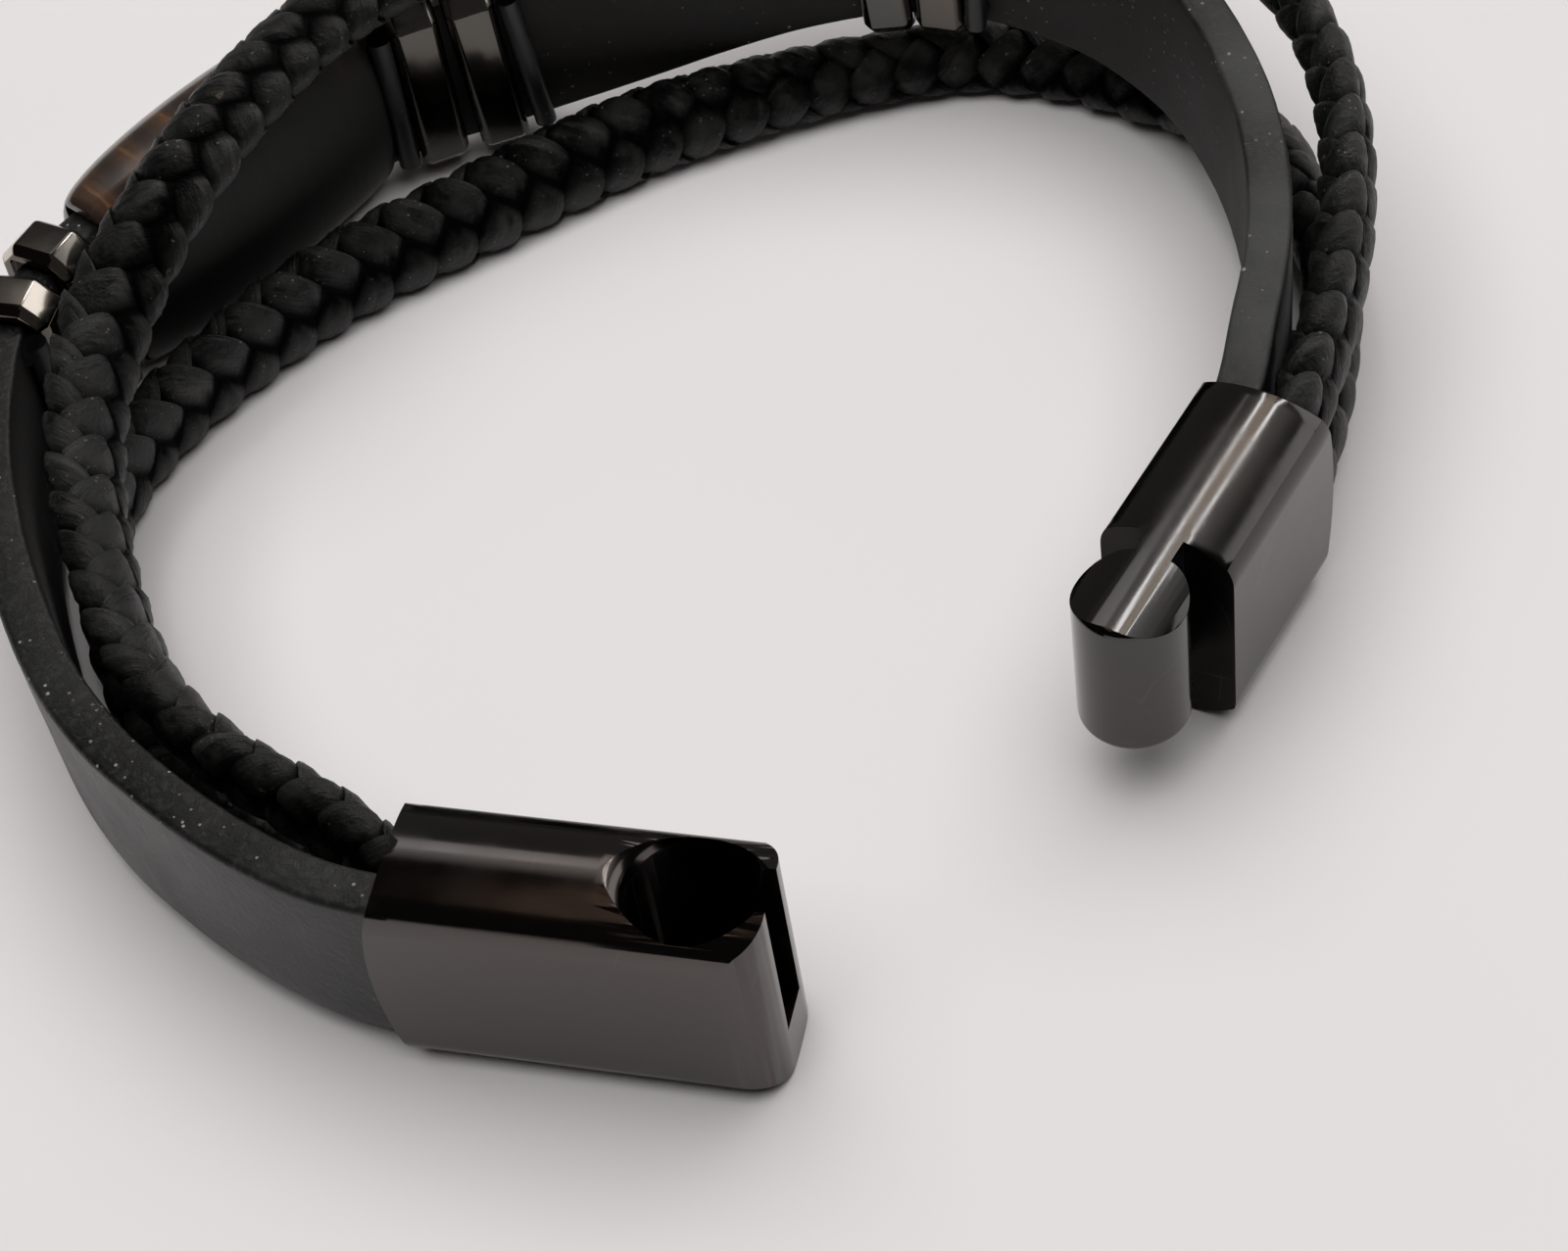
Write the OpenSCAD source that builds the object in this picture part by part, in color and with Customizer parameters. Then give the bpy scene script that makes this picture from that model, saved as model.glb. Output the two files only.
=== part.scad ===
// Bracelet of one flat leather strap and two oval leather braids on an open slide clasp.
// It lies on its edge: +Z is up from the table, and the wrist goes in along Z.

/* [Clasp] */
// Height of both clasp halves
clasp_high = 12.8; // [11.6:0.1:13.6]
// Thickness of both clasp halves
clasp_thick = 7.2; // [7:0.1:8]
// Rise of the arched top and bottom above their creases
arch_rise = 1.35; // [0.8:0.05:1.8]
// Bulge of each half's end where the strands go in
end_bulge = 1; // [0.4:0.1:1.4]
// Wall around the pocket that the strands are glued into
pocket_wall = 0.55; // [0.4:0.05:0.6]
// Depth of that pocket
pocket_deep = 7; // [5:0.5:8]
// Length of the socket half behind its bore axis
socket_back = 15.4; // [13:0.1:17]
// Length of the socket half in front of its bore axis
socket_front = 3.8; // [3.6:0.1:4.5]
// Plan radius of the socket half's front corners
socket_corner = 2.3; // [0.5:0.1:2.4]
// Diameter of the keyhole's bore
bore_d = 6; // [5:0.1:6]
// Width of the keyhole's slot
slot_w = 2.4; // [1.6:0.1:3]
// Height of the keyhole's floor
keyhole_floor = 3.2; // [2:0.1:5]
// Diameter of the post
post_d = 5.7; // [4.6:0.1:5.8]
// Length of the post half behind its post axis
post_back = 15.5; // [13:0.1:17]
// Distance from the post axis to the end of its body
post_gap = 3.9; // [3.7:0.1:5]
// Thickness of the neck between the body and the post
neck_w = 1.9; // [1:0.1:2.2]
// Height of the post's foot above the table
post_foot = 3.9; // [2.5:0.1:6]

/* [Strands] */
// Width of the flat strap
strap_wide = 10; // [9:0.1:10.1]
// Thickness of the flat strap
strap_thick = 2.4; // [1.8:0.1:2.4]
// Wide diameter of a braid
braid_wide = 5.5; // [4.6:0.1:5.6]
// Narrow diameter of a braid
braid_thick = 3.4; // [2.6:0.1:3.5]
// Wide diameter of a braid's end in the pocket
braid_end_wide = 4.9; // [4:0.1:5]
// Narrow diameter of a braid's end in the pocket
braid_end_thick = 3.2; // [2.4:0.1:3.3]

/* [Beads] */
// Length of a steel ring along the strap
ring_long = 3; // [2.4:0.1:3.2]
// Outer height of a steel ring
ring_high = 12.4; // [11.8:0.1:12.6]
// Outer thickness of a steel ring
ring_thick = 5.2; // [4.6:0.1:5.4]
// Chamfer of a steel ring
ring_chamfer = 1.3; // [0.3:0.05:1.4]
// Thickness of an o-ring's cord
o_ring_cord = 1.3; // [1:0.1:1.3]
// Length of the stone slider
stone_long = 20; // [16:0.5:20]
// Height of the stone slider
stone_high = 13.2; // [12.4:0.1:13.2]
// Bulge of the stone's outer face from the middle of the strap
stone_out = 5; // [3.6:0.1:5.4]
// Bulge of the stone's inner face from the middle of the strap
stone_in = 3.4; // [2.6:0.1:3.6]

/* [Hidden] */
$fn = 96;

// Plan position of the bore axis, with the socket half's front towards +X
socket_at = [12.5, -37];
// Plan position of the post axis, and the heading of the post half's front
post_at = [29.5, -17.6];
post_heading = -107.9;
// The middle of the whole bracelet's box, taken as the origin
middle = [0.69, 1.26, 0];
// Gap that the strands keep in the pockets and the beads keep from the strap
pocket_gap = 0.15;
bead_gap = 0.25;
steps = 4;

// Where the strands lie in a pocket: distance from the clasp's middle to the middle of each strand
strap_side = clasp_thick / 2 - pocket_wall - pocket_gap - strap_thick / 2;
braid_side = clasp_thick / 2 - pocket_wall - pocket_gap - braid_end_thick / 2;
strand_end = pocket_deep - 0.3;
strap_low = (clasp_high - strap_wide) / 2;
braid_upper_z = clasp_high / 2 + braid_end_wide / 2 + 0.2;
braid_lower_z = clasp_high / 2 - braid_end_wide / 2 - 0.2;

// Plan point of a clasp half, given its axis, its heading, a distance behind the axis and one to its left
function beside(at, heading, back, left) =
    [at[0] - back * cos(heading) - left * sin(heading), at[1] - back * sin(heading) + left * cos(heading)];
function socket_point(into, left) = beside(socket_at, 0, socket_back - into, left);
function post_point(into, left) = beside(post_at, post_heading, post_back - into, left);

// Route of the strap, as [x, y, lower edge's height], from the socket half round to the post half
strap_route = [
    concat(socket_point(strand_end, -strap_side), strap_low),
    concat(socket_point(3, -strap_side), strap_low),
    concat(socket_point(0, -strap_side), strap_low),
    [-5.9, -38.2, 1.4], [-9.3, -37, 1.4], [-12.5, -35.5, 1.4], [-15.9, -33.5, 1.4], [-19.2, -31.2, 1.4],
    [-22.6, -28, 1.4], [-26, -23.7, 1.4], [-29, -19, 1.4], [-31.5, -14.2, 1.4], [-33.3, -9.2, 1.4],
    [-34.35, -4.5, 1.5], [-33.95, -0.2, 1.6], [-32.8, 3.4, 1.6], [-30.8, 7, 1.6], [-28.8, 10.6, 1.6],
    [-26.8, 14.2, 1.6], [-24.8, 17.8, 1.6], [-22.8, 20.9, 1.6], [-19.9, 23.3, 1.6], [-16.3, 25.3, 1.7],
    [-12, 27.4, 2.1], [-7.4, 29.3, 2.9], [-2.6, 31, 3.9], [2.2, 32.6, 4.7], [6.6, 33.7, 5.1],
    [10.2, 33.9, 5.2], [14, 33.4, 5.1], [17.6, 32.4, 4.8], [20.6, 31, 4.5], [23.4, 29, 4.2],
    [26, 26.3, 4.1], [28.2, 23.1, 3.8], [30.3, 19.3, 3], [31.8, 15, 2.5], [32.6, 11, 2.1], [32.9, 7, 1.7],
    [32.8, 3, 1.5],
    concat(post_point(0, -strap_side), strap_low),
    concat(post_point(3, -strap_side), strap_low),
    concat(post_point(strand_end, -strap_side), strap_low)];

// Routes of the braids, as [x, y, height, lean], where the lean turns the wide side outwards from upright
upper_route = [
    concat(socket_point(strand_end, braid_side), braid_upper_z, 0),
    concat(socket_point(3, braid_side), braid_upper_z, 0),
    concat(socket_point(0, braid_side), braid_upper_z, 0),
    [-5.4, -34.2, 9.2, 4], [-8.9, -32.5, 9.3, 10], [-12.6, -30.8, 9.3, 16], [-16, -28.6, 9.3, 22],
    [-19.2, -25.6, 9.3, 26], [-22.3, -21.6, 9.4, 28], [-25, -17, 9.6, 30], [-27.1, -12.4, 9.9, 32],
    [-28.4, -7.9, 10.4, 38], [-28.8, -3.4, 11.2, 56], [-28, 0.4, 12.6, 76], [-26.8, 3.6, 14, 88],
    [-25.6, 7.4, 14.9, 92], [-24.5, 11.3, 15.1, 94], [-23.1, 15.2, 15.2, 94], [-20.8, 19.4, 15.3, 92],
    [-17.4, 23.4, 15.5, 90], [-13.2, 27, 15.6, 90], [-8.6, 30.6, 15.6, 90], [-3.8, 34.2, 15.6, 92],
    [1, 37.4, 15.2, 98], [6, 39.9, 14.5, 110], [11, 40.6, 13.8, 122], [16, 39.7, 13.2, 134],
    [21, 37.6, 12.8, 146],
    [25.4, 34.6, 12.4, 156], [29.2, 31.2, 12, 164], [32.2, 27.4, 11.6, 172], [34.3, 23.2, 11.2, 178],
    [35.7, 18.6, 10.8, 180], [36.4, 13.8, 10.3, 180], [36.6, 9, 9.9, 180], [36.4, 4.4, 9.4, 180],
    [35.9, 0.4, 9.1, 180],
    concat(post_point(0, braid_side), braid_upper_z, 180),
    concat(post_point(3, braid_side), braid_upper_z, 180),
    concat(post_point(strand_end, braid_side), braid_upper_z, 180)];
lower_route = [
    concat(socket_point(strand_end, braid_side), braid_lower_z, 0),
    concat(socket_point(3, braid_side), braid_lower_z, 0),
    concat(socket_point(0, braid_side), braid_lower_z, 0),
    [-5.6, -34.5, 3.5, 0], [-9.2, -33.1, 3.3, 0], [-12.8, -31.4, 3.1, 0], [-16.4, -29, 2.9, 0],
    [-19.9, -25.9, 2.85, 0], [-23.1, -21.9, 2.85, 0], [-26.2, -17.2, 2.85, 0], [-28.4, -12.4, 2.85, 2],
    [-28.9, -7.4, 2.85, 6], [-28, -3, 2.85, 10], [-25.9, 1.9, 2.8, 16], [-23.2, 6.6, 2.75, 24],
    [-19.6, 11.2, 2.7, 32], [-15.4, 15.4, 2.6, 40], [-11.1, 19.7, 2.5, 44], [-6.6, 23.8, 2.4, 50],
    [-2, 26.9, 2.25, 60], [2.9, 29.7, 2.1, 66], [7.4, 31.7, 1.95, 70], [11.5, 33, 1.9, 72],
    [15.8, 33.1, 1.85, 78], [19.9, 32.3, 1.75, 88], [23.6, 30.8, 1.8, 96], [27.4, 28.9, 2.05, 112],
    [30.7, 26.1, 2.4, 134], [32.9, 21.8, 2.8, 156], [34.7, 17.4, 2.85, 172], [35.8, 12.8, 2.85, 180],
    [36.1, 8.4, 2.95, 180], [36.1, 4.2, 3.2, 180], [35.8, 0.4, 3.5, 180],
    concat(post_point(0, braid_side), braid_lower_z, 180),
    concat(post_point(3, braid_side), braid_lower_z, 180),
    concat(post_point(strand_end, braid_side), braid_lower_z, 180)];

// Beads along the strap, as [node, distance along the strap from its socket end]
bead_places = [
    ["o_ring_a", 54.7], ["steel_ring_a1", 57.4], ["steel_ring_a2", 61.5], ["tiger_eye_slider", 74.5],
    ["o_ring_b", 85.9], ["steel_ring_b1", 88.4], ["steel_ring_b2", 92.2], ["o_ring_c", 94.7],
    ["steel_ring_c1", 117.1], ["steel_ring_c2", 121], ["o_ring_d", 123.6]];

function blend(a, b, c, d, t) =
    0.5 * (2 * b + (c - a) * t + (2 * a - 5 * b + 4 * c - d) * t * t + (3 * b - a - 3 * c + d) * t * t * t);
// A smooth curve through the points of a route
function smooth(route) = let (last = len(route) - 1)
    concat([for (i = [0:last - 1], k = [0:steps - 1])
        blend(route[max(i - 1, 0)], route[i], route[i + 1], route[min(i + 2, last)], k / steps)],
        [route[last]]);
// Plan heading of a curve at one of its points
function heading_at(curve, i) = let (a = curve[max(i - 1, 0)], b = curve[min(i + 1, len(curve) - 1)])
    atan2(b[1] - a[1], b[0] - a[0]);
// Distances along a curve of each of its points
function distances(curve, i = 0, sum = 0, done = []) = i >= len(curve) ? done
    : distances(curve, i + 1,
        i + 1 < len(curve) ? sum + norm([for (k = [0:2]) curve[i + 1][k] - curve[i][k]]) : sum,
        concat(done, sum));

strap_curve = smooth(strap_route);
strap_marks = distances(strap_curve);
function strap_value(s, k) = lookup(s, [for (i = [0:len(strap_curve) - 1]) [strap_marks[i], strap_curve[i][k]]]);
function strap_point(s) = [strap_value(s, 0), strap_value(s, 1), strap_value(s, 2) + strap_wide / 2];
function bead_at(name) = [for (row = bead_places) if (row[0] == name) row[1]][0];

// Cross-sections, as [outwards, up] from the middle of a strand
function strap_outline(t, w, c) = [
    [t / 2, -w / 2 + c], [t / 2, w / 2 - c], [t / 2 - c, w / 2], [c - t / 2, w / 2],
    [-t / 2, w / 2 - c], [-t / 2, -w / 2 + c], [c - t / 2, -w / 2], [t / 2 - c, -w / 2]];
function oval(t, w, lean, n = 10) = [for (k = [0:n - 1]) let (a = 360 * k / n, p = t / 2 * cos(a), q = w / 2 * sin(a))
    [p * cos(lean) + q * sin(lean), q * cos(lean) - p * sin(lean)]];
// Share of a braid's own size at a distance into a pocket's mouth, from 0 inside to 1 outside
function swell(curve, i) = let (last = len(curve) - 1, n = min(i, last - i) / steps)
    n <= 2 ? 0 : n >= 3 ? 1 : n - 2;

// A solid through a list of sections, each a list of as many points
module sweep(sections) {
    n = len(sections[0]);
    m = len(sections);
    points = [for (s = sections, p = s) p];
    sides = [for (i = [0:m - 2], k = [0:n - 1]) let (a = i * n + k, b = i * n + (k + 1) % n)
        each [[a, b + n, b], [a, a + n, b + n]]];
    caps = [[for (k = [0:n - 1]) k], [for (k = [n - 1:-1:0]) (m - 1) * n + k]];
    polyhedron(points, concat(sides, caps));
}

// Puts a section's outline at a point of a curve, with its first axis pointing out of the loop
function placed(curve, i, outline, lift) = let (h = heading_at(curve, i))
    [for (p = outline) [curve[i][0] + p[0] * sin(h + 180), curve[i][1] - p[0] * cos(h + 180), curve[i][2] + p[1] + lift]];

module strand_sweep(curve, outlines, lift) {
    translate(-middle)
        sweep([for (i = [0:len(curve) - 1]) placed(curve, i, outlines[i], lift)]);
}

// Flat sides with an arched top and bottom
module clasp_section(t, h, rise) {
    r = (t * t / 4 + rise * rise) / (2 * rise);
    intersection() {
        translate([-t / 2, 0]) square([t, h]);
        union() {
            translate([0, h - r]) circle(r);
            translate([-t / 2, 0]) square([t, h - rise]);
        }
        union() {
            translate([0, r]) circle(r);
            translate([-t / 2, rise]) square([t, h - rise]);
        }
    }
}

// The clasp's section run along X between two distances
module clasp_bar(x0, x1) {
    translate([x0, 0, 0])
        rotate([90, 0, 90])
            linear_extrude(x1 - x0) clasp_section(clasp_thick, clasp_high, arch_rise);
}

// Keeps what lies in front of a half's bulged end
module bulged_end(back) {
    r = (clasp_high * clasp_high / 4 + end_bulge * end_bulge) / (2 * end_bulge);
    intersection() {
        children();
        translate([r - back, 0, clasp_high / 2])
            rotate([90, 0, 0]) cylinder(r = r, h = clasp_thick + 2, center = true);
    }
}

// The pocket at the back of a half that starts at a distance behind its axis
module pocket(back) {
    wide = clasp_thick - 2 * pocket_wall;
    high = strap_wide + 2 * pocket_gap;
    translate([-back - 1, -wide / 2, (clasp_high - high) / 2]) cube([pocket_deep + 1, wide, high]);
}

module socket_plan() {
    c = socket_corner;
    long = socket_back + 1 + socket_front;
    translate([-socket_back - 1, -clasp_thick / 2]) square([long - c, clasp_thick]);
    translate([-socket_back - 1, c - clasp_thick / 2]) square([long, clasp_thick - 2 * c]);
    for (side = [-1, 1])
        translate([socket_front - c, side * (clasp_thick / 2 - c)]) circle(c);
}

module clasp_socket() {
    color([0.2, 0.18, 0.18])
        translate([socket_at[0], socket_at[1], 0] - middle)
            difference() {
                bulged_end(socket_back)
                    intersection() {
                        clasp_bar(-socket_back - 0.5, socket_front);
                        linear_extrude(clasp_high) socket_plan();
                    }
                translate([0, 0, keyhole_floor]) cylinder(d = bore_d, h = clasp_high);
                translate([0, -slot_w / 2, keyhole_floor]) cube([socket_front + 1, slot_w, clasp_high]);
                pocket(socket_back);
            }
}

// The post's round bar with a rounded foot
module post_bar() {
    r = post_d / 2;
    edge = 0.5;
    translate([0, 0, post_foot])
        rotate_extrude() {
            square([r - edge, clasp_high]);
            translate([0, edge]) square([r, clasp_high]);
            intersection() {
                translate([r - edge, edge]) circle(edge);
                square([r, edge]);
            }
        }
}

module clasp_post() {
    color([0.2, 0.18, 0.18])
        translate([post_at[0], post_at[1], 0] - middle)
            rotate([0, 0, post_heading])
                difference() {
                    union() {
                        bulged_end(post_back) clasp_bar(-post_back - 0.5, -post_gap);
                        intersection() {
                            clasp_bar(-post_gap - 1, post_d);
                            union() {
                                post_bar();
                                translate([-post_gap - 0.5, -neck_w / 2, post_foot])
                                    cube([post_gap, neck_w, clasp_high]);
                            }
                        }
                    }
                    pocket(post_back);
                }
}

module flat_strap() {
    outline = strap_outline(strap_thick, strap_wide, 0.35);
    color([0.09, 0.09, 0.1])
        strand_sweep(strap_curve, [for (p = strap_curve) outline], strap_wide / 2);
}

module braid(route) {
    curve = smooth(route);
    color([0.07, 0.07, 0.08])
        strand_sweep(curve, [for (i = [0:len(curve) - 1]) let (f = swell(curve, i))
            oval(braid_end_thick + f * (braid_thick - braid_end_thick),
                braid_end_wide + f * (braid_wide - braid_end_wide), curve[i][3])], 0);
}

module upper_braid() {
    braid(upper_route);
}

module lower_braid() {
    braid(lower_route);
}

// Puts a bead that is drawn round the X axis on the strap
module on_strap(s) {
    a = strap_point(s - 1);
    b = strap_point(s + 1);
    flat = norm([b[0] - a[0], b[1] - a[1]]);
    translate(strap_point(s) - middle)
        rotate([0, -atan2(b[2] - a[2], flat), atan2(b[1] - a[1], b[0] - a[0])])
            children();
}

module chamfered(w, h, c) {
    polygon([[w / 2 - c, -h / 2], [w / 2, c - h / 2], [w / 2, h / 2 - c], [w / 2 - c, h / 2],
        [c - w / 2, h / 2], [-w / 2, h / 2 - c], [-w / 2, c - h / 2], [c - w / 2, -h / 2]]);
}

// A flat ring round the strap with chamfers on all its outer edges
module steel_ring(name) {
    slot_y = strap_thick + 2 * bead_gap;
    slot_z = strap_wide + 2 * bead_gap;
    color([0.24, 0.23, 0.23])
        on_strap(bead_at(name))
            difference() {
                intersection() {
                    rotate([90, 0, 90])
                        linear_extrude(ring_long, center = true) chamfered(ring_thick, ring_high, ring_chamfer);
                    rotate([90, 0, 0])
                        linear_extrude(ring_thick, center = true)
                            chamfered(ring_long, ring_high, ring_chamfer * 0.35);
                    linear_extrude(ring_high, center = true)
                        chamfered(ring_long, ring_thick, ring_chamfer * 0.35);
                }
                cube([ring_long + 1, slot_y, slot_z], center = true);
            }
}

// A rubber cord closed into a loop that hugs the strap
module o_ring(name) {
    r = o_ring_cord / 2;
    bend = r + 0.35;
    half_y = strap_thick / 2 + 0.1 + r;
    half_z = strap_wide / 2 + 0.1 + r;
    color([0.05, 0.05, 0.05])
        on_strap(bead_at(name))
            rotate([90, 0, 90])
                for (side = [0, 1])
                    mirror([side, 0, 0]) {
                        translate([half_y, 0, 0])
                            rotate([90, 0, 0]) cylinder(r = r, h = 2 * (half_z - bend), center = true);
                        for (end = [0, 1])
                            mirror([0, end, 0]) {
                                translate([half_y - bend, half_z - bend, 0])
                                    rotate_extrude(angle = 90) translate([bend, 0]) circle(r, $fn = 32);
                                translate([0, half_z, 0])
                                    rotate([0, 90, 0]) cylinder(r = r, h = half_y - bend);
                            }
                    }
}

// Size of the stone at a share of its half length, from 1 in its middle
function stone_share(f, end) = end + (1 - end) * sqrt(1 - f * f);

module tiger_eye_slider() {
    n = 28;
    rows = 12;
    color([0.36, 0.2, 0.1])
        on_strap(bead_at("tiger_eye_slider"))
            difference() {
                sweep([for (i = [0:rows]) let (f = sin(-90 + 180 * i / rows), x = f * stone_long / 2)
                    [for (k = [0:n - 1]) let (a = 360 * k / n, c = cos(a), s = sin(a),
                        out = (c > 0 ? stone_out : stone_in) * stone_share(f, c > 0 ? 0.5 : 0.72),
                        up = stone_high / 2 * stone_share(f, 0.88))
                        [x, sign(c) * pow(abs(c), 0.8) * out, sign(s) * pow(abs(s), 0.8) * up]]]);
                cube([stone_long + 2, strap_thick + 0.8, strap_wide + 0.6], center = true);
            }
}

clasp_socket();
clasp_post();
flat_strap();
upper_braid();
lower_braid();
tiger_eye_slider();
steel_ring("steel_ring_a1");  // steel_ring_a1
steel_ring("steel_ring_a2");  // steel_ring_a2
steel_ring("steel_ring_b1");  // steel_ring_b1
steel_ring("steel_ring_b2");  // steel_ring_b2
steel_ring("steel_ring_c1");  // steel_ring_c1
steel_ring("steel_ring_c2");  // steel_ring_c2
o_ring("o_ring_a");  // o_ring_a
o_ring("o_ring_b");  // o_ring_b
o_ring("o_ring_c");  // o_ring_c
o_ring("o_ring_d");  // o_ring_d
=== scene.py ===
import math

import bmesh
import bpy
import numpy as np
from mathutils import Matrix, Vector, noise


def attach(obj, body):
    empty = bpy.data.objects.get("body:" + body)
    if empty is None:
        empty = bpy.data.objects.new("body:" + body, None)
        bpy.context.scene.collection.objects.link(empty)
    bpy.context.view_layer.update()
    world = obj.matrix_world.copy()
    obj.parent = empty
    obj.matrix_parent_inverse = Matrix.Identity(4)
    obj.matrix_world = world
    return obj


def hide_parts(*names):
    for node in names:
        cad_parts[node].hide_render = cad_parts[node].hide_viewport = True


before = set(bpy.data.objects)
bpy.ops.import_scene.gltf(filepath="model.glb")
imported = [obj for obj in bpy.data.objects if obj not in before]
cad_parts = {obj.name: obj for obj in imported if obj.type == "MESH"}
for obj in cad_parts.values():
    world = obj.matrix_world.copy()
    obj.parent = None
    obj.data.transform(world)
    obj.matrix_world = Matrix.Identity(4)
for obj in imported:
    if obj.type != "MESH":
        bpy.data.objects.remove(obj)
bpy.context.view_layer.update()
mm = 0.001
planMiddle = (0.69, 1.26)  # the middle of the plan that the part's own source is drawn on, in millimetres
spare, sliver = 1, 0.0005  # how far cutters reach past what they cut, and past what they only touch
print("stage: frame loaded")


# Curves in millimetres, each a row of points
def smoothCurve(route, steps):
    points = np.array(route, float)
    last = len(points) - 1
    rows = []
    for i in range(last):
        a, b = points[max(i - 1, 0)], points[i]
        c, d = points[i + 1], points[min(i + 2, last)]
        for k in range(steps):
            t = k / steps
            rows.append(0.5 * (2 * b + (c - a) * t + (2 * a - 5 * b + 4 * c - d) * t * t
                               + (3 * b - a - 3 * c + d) * t ** 3))
    rows.append(points[last])
    curve = np.array(rows)
    curve[:, :2] -= planMiddle
    return curve


def distancesAlong(curve):
    return np.concatenate([[0], np.cumsum(np.linalg.norm(np.diff(curve[:, :3], axis=0), axis=1))])


def spread(curve, step):
    # the same curve with points at an even distance, and the distances themselves
    marks = distancesAlong(curve)
    count = max(int(round(marks[-1] / step)), 2)
    places = np.linspace(0, marks[-1], count + 1)
    return np.stack([np.interp(places, marks, curve[:, k]) for k in range(curve.shape[1])], 1), places


def leftOf(curve):
    # the plan direction that points out of the loop at every point of a curve
    slope = np.gradient(curve[:, :2], axis=0)
    slope /= np.linalg.norm(slope, axis=1)[:, None]
    return np.stack([-slope[:, 1], slope[:, 0], np.zeros(len(slope))], 1)


# Small tools for modelling with operators, which take millimetres
def unselect():
    if bpy.context.object and bpy.context.object.mode != "OBJECT":
        bpy.ops.object.mode_set(mode="OBJECT")
    bpy.ops.object.select_all(action="DESELECT")


def intoScene(piece):
    bpy.context.scene.collection.objects.link(piece)


def choose(piece):
    unselect()
    piece.select_set(True)
    bpy.context.view_layer.objects.active = piece


def fresh(name):
    # the primitive that was just added, with its turn and size put in its mesh
    piece = bpy.context.object
    piece.name = name
    bpy.ops.object.transform_apply()
    return piece


def pick(piece, kind, rule):
    # in edit mode, selects only the vertices, edges or faces that the rule says
    bpy.ops.mesh.select_mode(type=kind)
    bpy.ops.mesh.select_all(action="DESELECT")
    mesh = bmesh.from_edit_mesh(piece.data)
    for part in {"VERT": mesh.verts, "EDGE": mesh.edges, "FACE": mesh.faces}[kind]:
        if rule(part):
            part.select_set(True)
    mesh.select_flush_mode()
    bmesh.update_edit_mesh(piece.data)


def finishWith(piece, kind, **values):
    choose(piece)
    modifier = piece.modifiers.new(kind.lower(), kind)
    for key, value in values.items():
        setattr(modifier, key, value)
    bpy.ops.object.modifier_apply(modifier=modifier.name)


def combine(piece, other, way):
    finishWith(piece, "BOOLEAN", operation=way, solver="EXACT", object=other)
    bpy.data.objects.remove(other)


def block(name, low, high):
    unselect()
    middle = [(a + b) / 2 * mm for a, b in zip(low, high)]
    bpy.ops.mesh.primitive_cube_add(size=1, location=middle, scale=[(b - a) * mm for a, b in zip(low, high)])
    return fresh(name)


def cylinder(name, roundness, radius, depth, place, turn=(0, 0, 0)):
    unselect()
    bpy.ops.mesh.primitive_cylinder_add(vertices=roundness, radius=radius * mm, depth=depth * mm,
                                        location=[v * mm for v in place], rotation=turn)
    return fresh(name)


def openMesh():
    # edit mode with all selected, which the next unselect() leaves again
    bpy.ops.object.mode_set(mode="EDIT")
    bpy.ops.mesh.select_all(action="SELECT")


def pullOut(x, y, z):
    bpy.ops.mesh.extrude_region_move(TRANSFORM_OT_translate={"value": (x * mm, y * mm, z * mm)})


def runs(edge, axis):
    # how far an edge runs along X, Y or Z
    return abs(edge.verts[0].co[axis] - edge.verts[1].co[axis]) / mm


def bevelWhere(piece, rule, width, steps):
    pick(piece, "EDGE", rule)
    bpy.ops.mesh.bevel(offset=width * mm, segments=steps)


def faceOutwards(piece):
    choose(piece)
    openMesh()
    bpy.ops.mesh.normals_make_consistent(inside=False)


def smoothByAngle(piece, degrees):
    choose(piece)
    bpy.ops.object.shade_smooth_by_angle(angle=math.radians(degrees))


def softenEdges(piece, width, steps):
    # narrow rounded rims on every hard edge, with flat faces kept flat
    finishWith(piece, "BEVEL", width=width * mm, segments=steps, limit_method="ANGLE",
               angle_limit=math.radians(25), miter_outer="MITER_ARC")
    smoothByAngle(piece, 60)
    finishWith(piece, "WEIGHTED_NORMAL", keep_sharp=True, weight=60)


def putInPlace(piece, matrix):
    choose(piece)
    piece.matrix_world = matrix
    bpy.ops.object.transform_apply()


def delivered(piece, node, slot, *materials):
    # clear() puts every face on the first material, so each face's own one is noted before
    kinds = [min(polygon.material_index, len(materials) - 1) for polygon in piece.data.polygons]
    piece.data.materials.clear()
    for material in materials:
        piece.data.materials.append(material)
    piece.data.polygons.foreach_set("material_index", kinds)
    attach(piece, "root")
    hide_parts(node)


# Node tools, which add to the tree at hand
atHand = {"tree": None}


def socketIn(target, value):
    if isinstance(value, bpy.types.NodeSocket):
        atHand["tree"].links.new(value, target)
    elif value is not None:
        target.default_value = value


def addNode(kind, settings=None, **sockets):
    node = atHand["tree"].nodes.new("ShaderNode" + kind)
    for key, value in (settings or {}).items():
        setattr(node, key, value)
    for key, value in sockets.items():
        socketIn(node.inputs[key.replace("_", " ")], value)
    return node


def calculate(way, first, second=None, third=None):
    node = addNode("Math", {"operation": way})
    for place, value in enumerate((first, second, third)):
        socketIn(node.inputs[place], value)
    return node.outputs[0]


def times(first, second):
    return calculate("MULTIPLY", first, second)


def timesPlus(first, second, third):
    return calculate("MULTIPLY_ADD", first, second, third)


def apart(first, second):
    return calculate("ABSOLUTE", calculate("SUBTRACT", first, second))


def mixColour(share, first, second, way="MIX"):
    node = addNode("Mix", {"data_type": "RGBA", "blend_type": way})
    for place, value in ((0, share), (6, first), (7, second)):
        socketIn(node.inputs[place], (*value, 1) if isinstance(value, (tuple, list)) else value)
    return node.outputs[2]


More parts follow.
